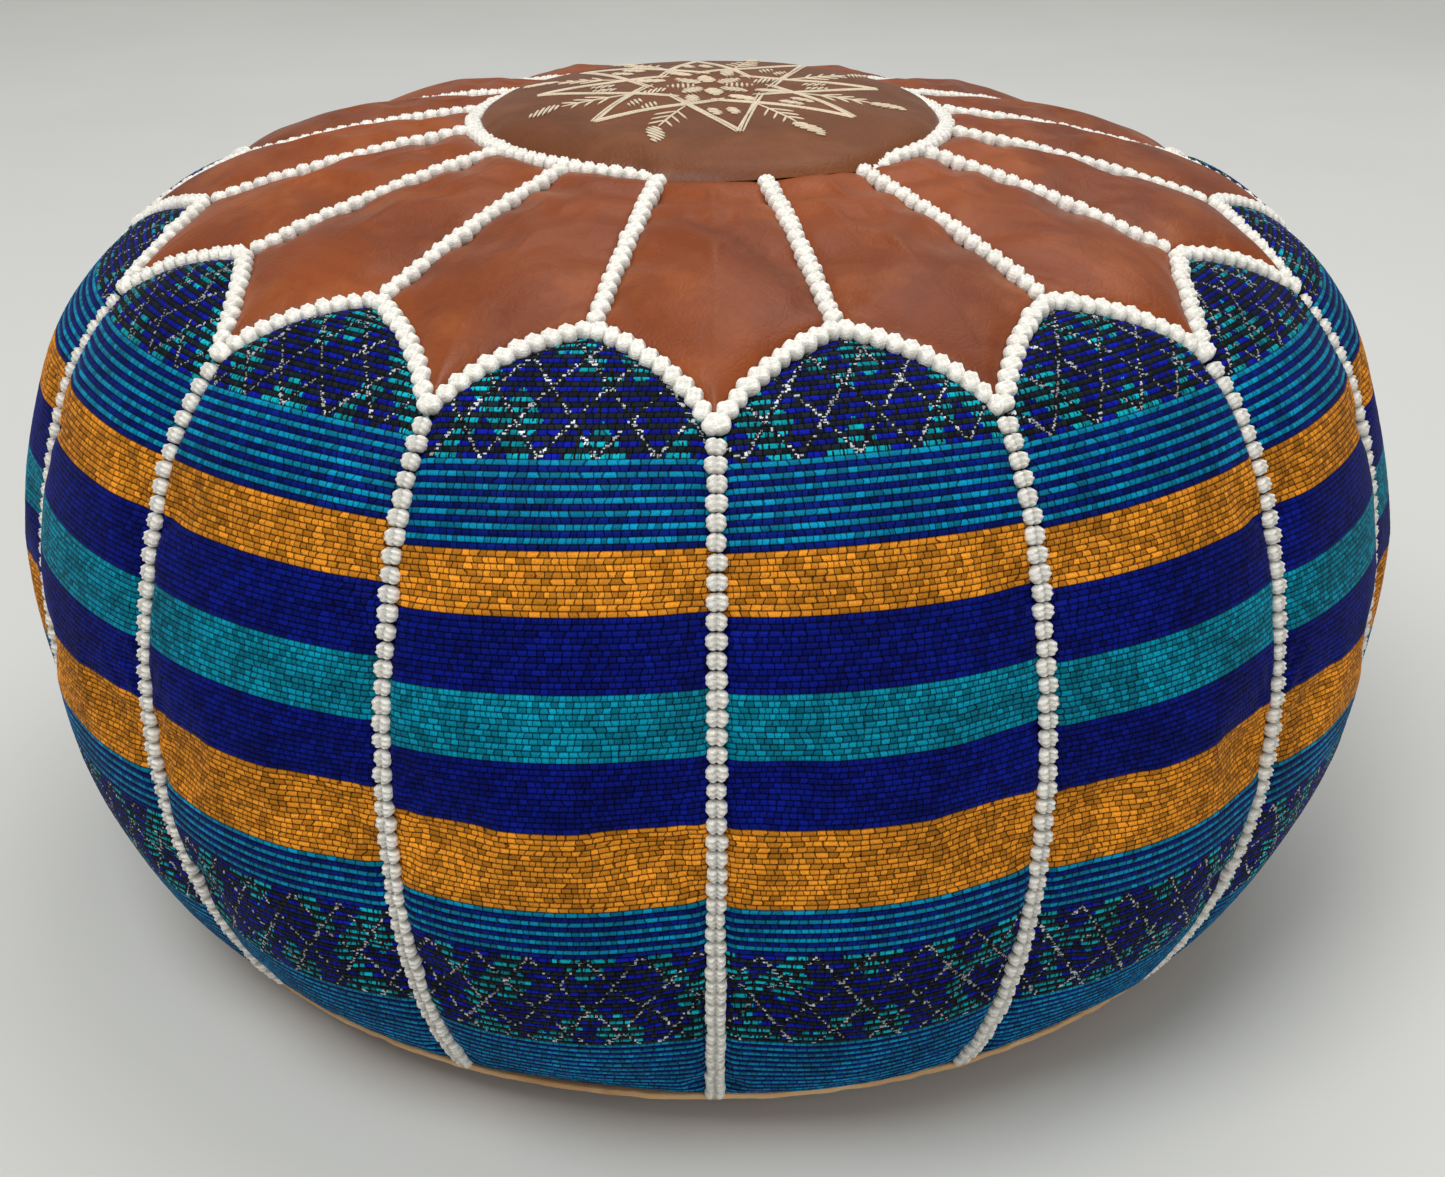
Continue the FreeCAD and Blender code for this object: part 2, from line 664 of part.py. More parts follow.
def make_stops():
    """The metal stops clamped over both tapes at the ends of the chain."""
    body = new_body("zip_stops")
    reach = f"({CHAIN_EDGE} + 2 * sheet.tooth_reach)"
    for side in (1, -1):
        inner = f"{side} * sheet.zip_length / 2"
        outer = f"{side} * (sheet.zip_length / 2 + sheet.stop_length)"
        low, high = (inner, outer) if side > 0 else (outer, inner)
        end = "right" if side > 0 else "left"
        sketch = new_sketch(body, end, lift="sheet.hem_rise")
        rectangle(sketch, low, high, f"0 - {reach}", reach)
        clamp = pad(body, sketch, f"{end}_clamp", "(sheet.tooth_height - sheet.tape_thick) / 2")
        clamp.Reversed = True


def make_slider():
    """The slider: two plates joined by a post between the rows of teeth, with a bridge for the pull."""
    body = new_body("zip_slider")
    x = SLIDER_X
    left, right = f"{x} - sheet.slider_length / 2", f"{x} + sheet.slider_length / 2"
    width = "(sheet.slider_width / 2)"
    low_plate = f"{TAPE_MIDDLE} - sheet.slider_gap / 2 - sheet.slider_plate"
    high_plate = f"{TAPE_MIDDLE} + sheet.slider_gap / 2"
    full = "sheet.slider_gap + 2 * sheet.slider_plate"
    post = new_sketch(body, "post", lift=low_plate)
    rectangle(post, left, right, "0 - sheet.slider_post / 2", "sheet.slider_post / 2")
    pad(body, post, "post_pad", full)
    for name, lift in (("low", low_plate), ("high", high_plate)):
        sketch = new_sketch(body, f"{name}_plate", lift=lift)
        rectangle(sketch, left, right, f"0 - {width}", width)
        pad(body, sketch, f"{name}_plate_pad", "sheet.slider_plate")
    for name, lift in (("low", f"{low_plate} + sheet.slider_plate"), ("high", f"{high_plate} - sheet.slider_lip")):
        for side in (1, -1):
            sketch = new_sketch(body, f"{name}_lip_{'a' if side > 0 else 'b'}", lift=lift)
            inner = f"{side} * ({width} - sheet.slider_lip)"
            outer = f"{side} * {width}"
            rectangle(sketch, left, right, inner, outer)
            pad(body, sketch, f"{name}_lip_pad_{'a' if side > 0 else 'b'}", "sheet.slider_lip")
    bridge = new_sketch(body, "bridge", "XZ_Plane")
    outer_x, inner_x = "sheet.bridge_length / 2", "sheet.bridge_length / 2 - sheet.bridge_leg"
    beam_top = f"{low_plate} - sheet.bridge_opening"
    beam_low = f"{beam_top} - sheet.bridge_beam"
    polygon(bridge, [
        (f"{x} - {outer_x}", low_plate), (f"{x} - {outer_x}", beam_low), (f"{x} + {outer_x}", beam_low),
        (f"{x} + {outer_x}", low_plate), (f"{x} + {inner_x}", low_plate), (f"{x} + {inner_x}", beam_top),
        (f"{x} - ({inner_x})", beam_top), (f"{x} - ({inner_x})", low_plate),
    ])
    pad(body, bridge, "bridge_pad", "sheet.bridge_width", middle=True)


def make_pull():
    """The slider's pull: a tab that lies flat under the chain, with an eye round the slider's bridge."""
    body = new_body("zip_pull")
    x = SLIDER_X
    middle = f"{TAPE_MIDDLE} - sheet.slider_gap / 2 - sheet.slider_plate - sheet.bridge_opening / 2"
    bar = "(sheet.pull_thick / 2)"
    sketch = new_sketch(body, "outline", lift=f"{middle} - {bar}")
    width = "(sheet.pull_width / 2)"
    rectangle(sketch, f"{x} + {bar} - sheet.pull_length", f"{x} + {bar}", f"0 - {width}", width)
    pad(body, sketch, "tab", "sheet.pull_thick")
    eye = new_sketch(body, "eye", lift=f"{middle} - {bar}")
    eye_width = "(sheet.bridge_width / 2 + sheet.pull_clearance)"
    rectangle(eye, f"{x} - {bar} - sheet.pull_eye", f"{x} - {bar}", f"0 - {eye_width}", eye_width)
    pocket_up(body, eye, "eye_cut")


# ---------------------------------------------------------------- the stuffing
def sack_blank(name, gap, node=False):
    """The cover's inside as a solid, drawn in by gap, with a channel that keeps clear of the zip."""
    body = new_body(name, node)
    sketch = new_sketch(body, "section", "XZ_Plane")
    outer = chain(sketch, ALL_ARCS, gap, RIM_HEIGHT, "0")
    floor = f"sheet.base_thick + {gap}"
    foot = Vector(cell("base_flat_radius"), value(floor), 0)
    rim = sketch.getPoint(outer[0], 1)
    middle = Vector(0, value(floor), 0)
    top = sketch.getPoint(outer[1], 2)
    side = sketch.addGeometry(Part.LineSegment(foot, rim), False)
    base = sketch.addGeometry(Part.LineSegment(middle, foot), False)
    axis = sketch.addGeometry(Part.LineSegment(top, middle), False)
    tie(sketch, "Coincident", side, 2, outer[0], 1)
    tie(sketch, "Coincident", base, 2, side, 1)
    tie(sketch, "Coincident", axis, 2, base, 1)
    tie(sketch, "Coincident", axis, 1, outer[1], 2)
    fix_point(sketch, base, 1, "0", floor)
    fix_point(sketch, base, 2, "sheet.base_flat_radius", floor)
    revolve(body, sketch, "turned", "360")
    channel = new_sketch(body, "channel", lift="0 - 1")
    half_width = f"(sheet.zip_room_width / 2 + {gap})"
    half_length = f"({SLOT_X} + sheet.zip_end_gap + {gap})"
    rectangle(channel, f"0 - {half_length}", half_length, f"0 - {half_width}", half_width)
    pocket_up(body, channel, "channel_cut", f"sheet.zip_room_height + {gap} + 1")
    return body


def make_stuffing():
    """The sack, and the stuffing inside it."""
    skin = "(sheet.leather_thick + sheet.ply_gap)"
    inside = f"({skin} + sheet.sack_thick)"
    outer = sack_blank("sack_outside", skin)
    inner = sack_blank("sack_inside", inside)
    sack = doc.addObject("Part::Cut", "inner_sack")
    sack.Label = "inner_sack"
    sack.Base = outer
    sack.Tool = inner
    NODES.append(sack)
    sack_blank("stuffing", f"({inside} + sheet.ply_gap)", node=True)


# ---------------------------------------------------------------- build, check and write
for index in range(int(cell("panel_count"))):
    make_petal(index)
for index in range(int(cell("panel_count"))):
    make_side_panel(index)
make_medallion()
make_embroidery()
make_medallion_cord()
make_petal_cords()
make_arch_cords()
make_side_cords()
make_welt()
make_base_panel("base_panel_back", 0)
make_base_panel("base_panel_front", 1)
make_tape("zip_tape_back", 0)
make_tape("zip_tape_front", 1)
make_teeth("zip_teeth_back", 0)
make_teeth("zip_teeth_front", 1)
make_stops()
make_slider()
make_pull()
make_stuffing()
doc.recompute()

for item in doc.Objects:
    if {"Invalid", "Error"} & set(item.State):
        raise RuntimeError(f"{item.Label} did not compute: {item.State} {item.getStatusString()}")
os.makedirs("parts", exist_ok=True)
for item in NODES:
    if item.Shape.isNull() or not item.Shape.isValid() or not item.Shape.Solids:
        raise RuntimeError(f"{item.Label} has no valid solid")
for item in NODES:
    item.Shape.exportStep(f"parts/{item.Label}.step")
print(f"{len(NODES)} sub-parts written")
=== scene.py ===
"""Looks of the leather pouf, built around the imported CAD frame.  Lengths are metres unless a name ends in MM."""

import math

import bpy
import numpy as np
from mathutils import Matrix, Vector


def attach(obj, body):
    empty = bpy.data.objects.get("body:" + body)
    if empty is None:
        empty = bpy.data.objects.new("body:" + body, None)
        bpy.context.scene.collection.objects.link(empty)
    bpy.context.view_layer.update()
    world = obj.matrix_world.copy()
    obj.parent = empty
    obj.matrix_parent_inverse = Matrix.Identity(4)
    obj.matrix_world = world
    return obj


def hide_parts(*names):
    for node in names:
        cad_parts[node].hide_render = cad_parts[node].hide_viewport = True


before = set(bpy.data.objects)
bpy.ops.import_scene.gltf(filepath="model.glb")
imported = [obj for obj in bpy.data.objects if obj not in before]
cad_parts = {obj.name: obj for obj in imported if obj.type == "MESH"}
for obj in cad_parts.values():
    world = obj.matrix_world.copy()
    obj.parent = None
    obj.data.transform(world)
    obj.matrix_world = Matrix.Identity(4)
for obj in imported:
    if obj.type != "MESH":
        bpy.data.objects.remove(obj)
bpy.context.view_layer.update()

# ---------------------------------------------------------------- driving sizes, the same as the CAD model's
PANELS = 16
PITCH = 2 * math.pi / PANELS
HALF = PITCH / 2
EQUATOR_R = 0.270
EQUATOR_Z = 0.145
LOWER_R = 0.213
UPPER_R = 0.244
SHOULDER_R = 0.095
CROWN_R = 0.650
TOP_Z = 0.316
HEM_Z = 0.020
RING_R = 0.092
PEAK_R = 0.195
VALLEY_R = 0.229
ARCH_R = 0.150
SEED = 11

# ---------------------------------------------------------------- the outline


def outline_table():
    """Samples of the cover's meridian from the hem up: length, radius, height and outward normal."""
    low = np.array([EQUATOR_R - LOWER_R, EQUATOR_Z])
    side = np.array([EQUATOR_R - UPPER_R, EQUATOR_Z])
    crown = np.array([0.0, TOP_Z - CROWN_R])
    near = UPPER_R - SHOULDER_R
    far = CROWN_R - SHOULDER_R
    gap = crown - side
    reach = np.linalg.norm(gap)
    along = (near**2 - far**2 + reach**2) / (2 * reach)
    across = math.sqrt(near**2 - along**2)
    ahead = gap / reach
    shoulder = side + ahead * along + np.array([-ahead[1], ahead[0]]) * across
    turn_side = math.atan2(*(shoulder - side)[::-1])
    turn_crown = math.atan2(*(shoulder - crown)[::-1])
    start = -math.asin((EQUATOR_Z - HEM_Z) / LOWER_R)
    arcs = [
        (low, LOWER_R, start, 0.0),
        (side, UPPER_R, 0.0, turn_side),
        (shoulder, SHOULDER_R, turn_side, turn_crown),
        (crown, CROWN_R, turn_crown, math.pi / 2),
    ]
    rows = []
    length = 0.0
    for centre, radius, first, last in arcs:
        angle = np.linspace(first, last, 600)
        run = length + radius * (angle - first)
        rows.append(np.stack([run, centre[0] + radius * np.cos(angle), centre[1] + radius * np.sin(angle),
                              np.cos(angle), np.sin(angle)], 1))
        length = run[-1]
    table = np.concatenate(rows)
    return table[np.concatenate([[True], np.diff(table[:, 0]) > 1e-9])]


OUTLINE = outline_table()
TOP_PART = OUTLINE[OUTLINE[:, 2] >= EQUATOR_Z + 1e-6][::-1]


def surface(phi, s, h):
    """Point h off the outline at azimuth phi (from -Y towards +X) and meridian length s."""
    r, z, nr, nz = (np.interp(s, OUTLINE[:, 0], OUTLINE[:, i]) for i in (1, 2, 3, 4))
    out = r + nr * h
    return np.stack(np.broadcast_arrays(out * np.sin(phi), -out * np.cos(phi), z + nz * h), -1)


def normal(phi, s):
    nr, nz = (np.interp(s, OUTLINE[:, 0], OUTLINE[:, i]) for i in (3, 4))
    return np.stack(np.broadcast_arrays(nr * np.sin(phi), -nr * np.cos(phi), nz), -1)


def length_at(r):
    """Meridian length of the point above the equator whose radius is r."""
    return np.interp(r, TOP_PART[:, 1], TOP_PART[:, 0])


def arch_line(phi):
    """Meridian length of the arch seam at azimuth phi; peaks lie midway between the side seams."""
    turn = np.abs((phi % PITCH) - HALF)
    peak = np.array([PEAK_R, 0.0])
    valley = VALLEY_R * np.array([math.cos(HALF), math.sin(HALF)])
    chord = valley - peak
    span = np.linalg.norm(chord)
    across = np.array([-chord[1], chord[0]]) / span
    middle = (peak + valley) / 2
    if across @ middle < 0:
        across = -across
    centre = middle + across * math.sqrt(ARCH_R**2 - (span / 2) ** 2)
    toward = centre[0] * np.cos(turn) + centre[1] * np.sin(turn)
    return length_at(toward - np.sqrt(ARCH_R**2 - centre @ centre + toward**2))


S_HEM = 0.0
S_RING = float(length_at(RING_R))
S_VALLEY = float(length_at(VALLEY_R))

# ---------------------------------------------------------------- noise and meshes


def hashed(ix, iy, seed):
    """A repeatable number from 0 to 1 for each pair of whole numbers."""
    v = np.sin(ix * 127.1 + iy * 311.7 + seed * 74.7) * 43758.5453
    return v - np.floor(v)


def noise(x, y, seed):
    """Smooth value noise from -1 to 1, one cell per unit."""
    ix, iy = np.floor(x), np.floor(y)
    fx, fy = x - ix, y - iy
    fx, fy = fx * fx * (3 - 2 * fx), fy * fy * (3 - 2 * fy)
    low = hashed(ix, iy, seed) * (1 - fx) + hashed(ix + 1, iy, seed) * fx
    high = hashed(ix, iy + 1, seed) * (1 - fx) + hashed(ix + 1, iy + 1, seed) * fx
    return (low * (1 - fy) + high * fy) * 2 - 1


def cubic(grid, x, y):
    """Smooth reading of a grid at fractional indices, straight on past its edges."""
    padded = np.pad(grid, 2, mode="reflect", reflect_type="odd")
    nx, ny = grid.shape
    x, y = np.clip(x, 0, nx - 1) + 2, np.clip(y, 0, ny - 1) + 2
    ix, iy = np.floor(x).astype(int), np.floor(y).astype(int)
    fx, fy = x - ix, y - iy

    def weights(t):
        return (-0.5 * t**3 + t**2 - 0.5 * t, 1.5 * t**3 - 2.5 * t**2 + 1,
                -1.5 * t**3 + 2 * t**2 + 0.5 * t, 0.5 * t**3 - 0.5 * t**2)

    total = 0
    for i, wx in enumerate(weights(fx)):
        for j, wy in enumerate(weights(fy)):
            total = total + wx * wy * padded[np.minimum(ix + i - 1, nx + 3), np.minimum(iy + j - 1, ny + 3)]
    return total


def grid_faces(rows, cols, wrap=False):
    """Quads of a rows by cols grid of vertices, numbered row by row."""
    index = np.arange(rows * cols).reshape(rows, cols)
    if wrap:
        index = np.concatenate([index, index[:, :1]], 1)
    a, b = index[:-1, :-1], index[:-1, 1:]
    c, d = index[1:, 1:], index[1:, :-1]
    return np.stack([a, b, c, d], -1).reshape(-1, 4)


def make_mesh(name, points, faces, uv=None, colour=None):
    """A smooth mesh object from numpy arrays; uv is per vertex and colour per face."""
    mesh = bpy.data.meshes.new(name)
    faces = np.asarray(faces)
    size = faces.shape[1]
    mesh.vertices.add(len(points))
    mesh.vertices.foreach_set("co", np.asarray(points, dtype=np.float32).ravel())
    mesh.loops.add(faces.size)
    mesh.loops.foreach_set("vertex_index", faces.ravel().astype(np.int32))
    mesh.polygons.add(len(faces))
    mesh.polygons.foreach_set("loop_start", np.arange(0, faces.size, size, dtype=np.int32))
    mesh.polygons.foreach_set("use_smooth", np.ones(len(faces), dtype=bool))
    if uv is not None:
        layer = mesh.uv_layers.new(name="OFBake")
        layer.data.foreach_set("uv", uv[faces.ravel()].astype(np.float32).ravel())
    if colour is not None:
        # the weave attribute holds each face's cloth colour, and on the cords the painted shade of the knots' hollows
        data = mesh.color_attributes.new("weave", "FLOAT_COLOR", "CORNER")
        data.data.foreach_set("color", np.repeat(colour, size, axis=0).astype(np.float32).ravel())
    mesh.update(calc_edges=True)
    mesh.validate()
    obj = bpy.data.objects.new(name, mesh)
    bpy.context.scene.collection.objects.link(obj)
    return obj


def settle(obj, material, nodes=(), body="cover"):
    """Gives a piece its material and its body, and hides the CAD nodes it stands for."""
    obj.data.materials.append(material)
    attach(obj, body)
    if nodes:
        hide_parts(*nodes)
    return obj


# ---------------------------------------------------------------- materials


def linear(red, green, blue):
    """Scene-linear colour of a display colour given from 0 to 255."""
    return tuple(((c / 255 + 0.055) / 1.055) ** 2.4 if c > 10 else c / 3294.6 for c in (red, green, blue))


class Material:
    """Small helper that writes a node material."""

    def __init__(self, name, roughness=0.6, **sockets):
        self.material = bpy.data.materials.new(name)
        self.material.use_nodes = True
        self.tree = self.material.node_tree
        self.shader = self.tree.nodes["Principled BSDF"]
        self.shader.inputs["Roughness"].default_value = roughness
        for key, setting in sockets.items():
            self.shader.inputs[key.replace("_", " ")].default_value = setting

    def put(self, socket, source):
        if isinstance(source, bpy.types.NodeSocket):
            self.tree.links.new(source, socket)
        else:
            socket.default_value = source

    def node(self, kind, inputs=(), **settings):
        made = self.tree.nodes.new(kind)
        for key, setting in settings.items():
            setattr(made, key, setting)
        for key, source in dict(inputs).items():
            self.put(made.inputs[key], source)
        return made

    def math(self, operation, first, second=0.0, third=0.0):
        made = self.node("ShaderNodeMath", {0: first, 1: second}, operation=operation)
        if operation == "MULTIPLY_ADD":
            self.put(made.inputs[2], third)
        return made.outputs[0]

    def noise(self, scale, detail=3.0, rough=0.5, warp=0.0, coords=None):
        made = self.node("ShaderNodeTexNoise", {"Scale": scale, "Detail": detail, "Roughness": rough,
                                                "Distortion": warp})
        self.put(made.inputs["Vector"], coords or self.object_coords())
        return made.outputs["Fac"]

    def cells(self, scale, feature="F1"):
        made = self.node("ShaderNodeTexVoronoi", {"Scale": scale}, feature=feature)
        self.put(made.inputs["Vector"], self.object_coords())
        return made.outputs["Distance"]

    def object_coords(self):
        return self.node("ShaderNodeTexCoord").outputs["Object"]

    def remap(self, source, low, high, to_low=0.0, to_high=1.0):
        made = self.node("ShaderNodeMapRange", {"Value": source, "From Min": low, "From Max": high,
                                                "To Min": to_low, "To Max": to_high})
        return made.outputs["Result"]

    def mix(self, factor, first, second, blend="MIX"):
        made = self.node("ShaderNodeMix", data_type="RGBA", blend_type=blend)
        self.put(made.inputs[0], factor)
        for index, source in ((6, first), (7, second)):
            self.put(made.inputs[index], (*source, 1.0) if isinstance(source, tuple) else source)
        return made.outputs[2]

    def bump(self, height, distance, strength=1.0, under=None):
        made = self.node("ShaderNodeBump", {"Height": height, "Distance": distance, "Strength": strength})
        if under:
            self.put(made.inputs["Normal"], under)
        return made.outputs["Normal"]

    def finish(self, colour, normal_source=None, roughness=None):
        self.put(self.shader.inputs["Base Color"], (*colour, 1.0) if isinstance(colour, tuple) else colour)
        if normal_source:
            self.put(self.shader.inputs["Normal"], normal_source)
        if roughness:
            self.put(self.shader.inputs["Roughness"], roughness)
        return self.material


def leather(name, dark, middle, light, shine):
    """Vegetable-tanned goat leather: cloudy dye, fine pores, creases and a waxed sheen."""
    m = Material(name, Specular_IOR_Level=0.20, Coat_Weight=0.04, Coat_Roughness=0.26)
    clouds = m.noise(11.0, 5.0, 0.58, 0.6)
    patches = m.noise(34.0, 4.0, 0.6, 0.3)
    pores = m.cells(900.0)
    creases = m.cells(210.0, "DISTANCE_TO_EDGE")
    colour = m.mix(m.remap(clouds, 0.32, 0.68), dark, middle)
    colour = m.mix(m.remap(patches, 0.48, 0.80, 0.0, 0.55), colour, light)
    colour = m.mix(m.remap(m.noise(150.0, 3.0), 0.55, 0.85, 0.0, 0.30), colour, dark)
    grain = m.bump(pores, 0.00016, 0.55)
    grain = m.bump(m.remap(creases, 0.0, 0.12), 0.00018, 0.35, grain)
    grain = m.bump(m.noise(70.0, 4.0), 0.0005, 0.35, grain)
    return m.finish(colour, grain, m.remap(m.noise(26.0, 4.0), 0.3, 0.7, shine, shine + 0.16))


RIB = 0.0019
BRICK = 0.0026
PANEL_UV_WIDTH = 0.120
PANEL_UV_HEIGHT = 0.330


def brocade():
    """Chenille weave: bands and motif come from the colour attribute, single bricks from the shader; the shader also
    paints shade into the gaps and grooves between the bricks and paints satin highlights and fibre sheen in as tone.
    """
    m = Material("brocade_weave", 0.55, Specular_IOR_Level=0.04)
    weave = m.node("ShaderNodeAttribute", attribute_name="weave")
    uv = m.node("ShaderNodeSeparateXYZ", {0: m.node("ShaderNodeUVMap", uv_map="OFBake").outputs[0]})
    across = m.math("MULTIPLY", uv.outputs["X"], PANEL_UV_WIDTH / BRICK)
    down = m.math("MULTIPLY", uv.outputs["Y"], PANEL_UV_HEIGHT / RIB)
    row = m.math("FLOOR", down)
    shift = m.node("ShaderNodeTexWhiteNoise", {"W": row}, noise_dimensions="1D").outputs["Value"]
    stretch = m.math("MULTIPLY_ADD", shift, 0.7, 0.7)
    wobble = m.math("MULTIPLY", m.noise(190.0, 2.0), 1.5)
    place = m.math("ADD", m.math("MULTIPLY_ADD", across, stretch, m.math("MULTIPLY", shift, 9.0)), wobble)
    brick = m.math("FLOOR", place)
    inside = m.math("ABSOLUTE", m.math("SUBTRACT", m.math("FRACT", place), 0.5))
    key = m.node("ShaderNodeCombineXYZ", {"X": brick, "Y": row}).outputs[0]
    each = m.node("ShaderNodeTexWhiteNoise", {"Vector": key}, noise_dimensions="2D").outputs["Value"]
    gap = m.remap(inside, 0.41, 0.48)
    rib = m.math("ABSOLUTE", m.math("SUBTRACT", m.math("FRACT", down), 0.5))
    groove = m.remap(rib, 0.30, 0.48)
    # painted highlight and shade: each brick's random tone is spread wide to stand in for the satin highlights of its
    # threads, and painted shade darkens the gaps between bricks
    shade = m.math("MULTIPLY", m.remap(each, 0.0, 1.0, 0.60, 1.50), m.remap(gap, 0.0, 1.0, 1.0, 0.16))
    # painted shade in the grooves between the ribs
    shade = m.math("MULTIPLY", shade, m.remap(groove, 0.0, 1.0, 1.0, 0.12))
    shade = m.math("MULTIPLY", shade, m.remap(m.noise(34.0, 4.0), 0.3, 0.7, 0.78, 1.22))
    # fine fibre noise: random tone of the fibres that also stands in for their sheen, a painted highlight
    shade = m.math("MULTIPLY", shade, m.remap(m.noise(2200.0, 2.0), 0.3, 0.7, 0.75, 1.25))
    grey = m.node("ShaderNodeCombineColor", {0: shade, 1: shade, 2: shade}).outputs[0]
    colour = m.mix(1.0, weave.outputs["Color"], grey, "MULTIPLY")
    height = m.math("SUBTRACT", m.remap(each, 0.0, 1.0, 0.75, 1.0), m.math("MULTIPLY", gap, 0.8))
    fibres = m.bump(height, 0.0005, 0.7)
    fibres = m.bump(m.noise(2600.0, 2.0), 0.00022, 0.5, fibres)
    m.put(m.shader.inputs["Metallic"], m.math("SUBTRACT", 1.0, weave.outputs["Alpha"]))
    return m.finish(colour, fibres)


def cotton(name, tint, twist, worked=True):
    """Waxed thread: short strand streaks and slight random soiling; when worked, the red of the weave attribute darkens
    it, as painted shade in the knots' hollows and as each embroidery stitch's random tone.
    """
    m = Material(name, 0.62, Sheen_Weight=0.12, Specular_IOR_Level=0.38, Subsurface_Weight=0.06,
                 Subsurface_Scale=0.001)
    dirt = m.noise(55.0, 4.0, 0.6)
    colour = m.mix(m.remap(dirt, 0.48, 0.78, 0.0, 0.5), tint, tuple(c * 0.72 for c in tint))
    stretched = m.node("ShaderNodeMapping", {"Vector": m.object_coords(), "Scale": (1.0, 1.0, 1.6),
                                             "Rotation": (0.5, 0.4, 0.7)}).outputs[0]
    strands = m.noise(twist, 2.0, 0.5, 0.4, stretched)
    if worked:
        # painted shade: on the cords this darkens the knots' hollows; on the embroidery it is each stitch's random tone
        hollow_shade_and_stitch_tone = m.node("ShaderNodeSeparateColor", {0: m.node("ShaderNodeAttribute",
                                                            attribute_name="weave").outputs["Color"]})
        colour = m.mix(m.math("MULTIPLY", hollow_shade_and_stitch_tone.outputs[0], 0.72), colour, tuple(c * 0.30 for c in tint))
    colour = m.mix(m.remap(strands, 0.30, 0.52, 0.45, 0.0), colour, tuple(c * 0.5 for c in tint))
    return m.finish(colour, m.bump(strands, 0.0005, 0.8))


def plain_weave(name, tint, scale):
    m = Material(name, 0.85, Sheen_Weight=0.1)
    where = m.node("ShaderNodeSeparateXYZ", {0: m.object_coords()})
    warp = m.math("SINE", m.math("MULTIPLY", where.outputs["X"], scale))
    weft = m.math("SINE", m.math("MULTIPLY", where.outputs["Y"], scale))
    threads = m.math("MULTIPLY", warp, weft)
    colour = m.mix(m.remap(threads, -1.0, 1.0, 0.0, 0.5), tint, tuple(c * 0.7 for c in tint))
    colour = m.mix(m.remap(m.noise(18.0, 4.0), 0.4, 0.8, 0.0, 0.4), colour, tuple(c * 0.75 for c in tint))
    return m.finish(colour, m.bump(threads, 0.0002, 0.6))


def metal(name):
    m = Material(name, 0.32, Metallic=1.0)
    wear = m.noise(380.0, 4.0, 0.6)
    colour = m.mix(m.remap(wear, 0.4, 0.75), linear(196, 164, 96), linear(150, 118, 64))
    return m.finish(colour, m.bump(wear, 0.00008, 0.4), m.remap(m.noise(160.0), 0.3, 0.7, 0.24, 0.46))


PETAL_LEATHER = leather("petal_leather", linear(100, 44, 15), linear(138, 67, 26), linear(162, 90, 42), 0.36)
MEDALLION_LEATHER = leather("medallion_leather", linear(82, 42, 18), linear(112, 63, 31), linear(132, 82, 48), 0.38)
BASE_LEATHER = leather("base_leather", linear(96, 50, 28), linear(132, 74, 42), linear(160, 100, 62), 0.48)
RAW_EDGE = leather("raw_edge", linear(168, 128, 88), linear(200, 164, 120), linear(222, 192, 152), 0.70)
BROCADE = brocade()
CORD = cotton("seam_cord", linear(242, 239, 230), 900.0)
SILK = cotton("silk_thread", linear(222, 204, 176), 1500.0)
BASE_THREAD = cotton("base_thread", linear(224, 218, 204), 1500.0, worked=False)
TAPE = plain_weave("zip_tape", linear(92, 66, 48), 5200.0)
SACK = plain_weave("sack_cotton", linear(214, 202, 178), 3600.0)
FILLING = plain_weave("stuffing", linear(206, 196, 176), 900.0)
BRASS = metal("zip_metal")

# ---------------------------------------------------------------- the puffed cover, by cloth simulation
COLS_PER_PANEL = 16
TOP_ROWS = 12
SIDE_ROWS = 34
PUFF_TOP = 0.0045
PUFF_SIDE = 0.0040
PUFF_LIMIT = 0.008
SIM_FRAMES = 20
CLOTH_MASS = 0.4
CLOTH_STIFFNESS = 18
CLOTH_SHEAR = 6
CLOTH_BENDING = 2.5
CLOTH_GROWTH = 0.012
CLOTH_PRESSURE = 1.6
PUFF_FLOOR = -0.002


def cover_grid():
    """Azimuths and meridian lengths of the simulated cover, ring first and hem last."""
    phi = np.arange(PANELS * COLS_PER_PANEL) * PITCH / COLS_PER_PANEL
    arch = arch_line(phi)
    top = np.linspace(0, 1, TOP_ROWS + 1)[:, None]
    side = np.linspace(0, 1, SIDE_ROWS + 1)[1:, None]
    s = np.concatenate([S_RING + (arch - S_RING) * top, arch + (S_HEM - arch) * side])
    return np.broadcast_to(phi, s.shape), s


def starting_puff(phi, rows):
    """Height of each grid point before the simulation: zero on the seams."""
    top = np.linspace(0, 1, TOP_ROWS + 1)[:, None]
    side = np.linspace(0, 1, SIDE_ROWS + 1)[1:, None]
    turn = phi[0] % PITCH / PITCH
    petal = np.abs(np.cos(np.pi * turn)) ** 0.8
    panel = np.abs(np.sin(np.pi * turn)) ** 0.7
    return np.concatenate([PUFF_TOP * np.sin(np.pi * top) ** 0.6 * petal,
                           PUFF_SIDE * np.sin(np.pi * side) ** 0.5 * panel])[:rows]


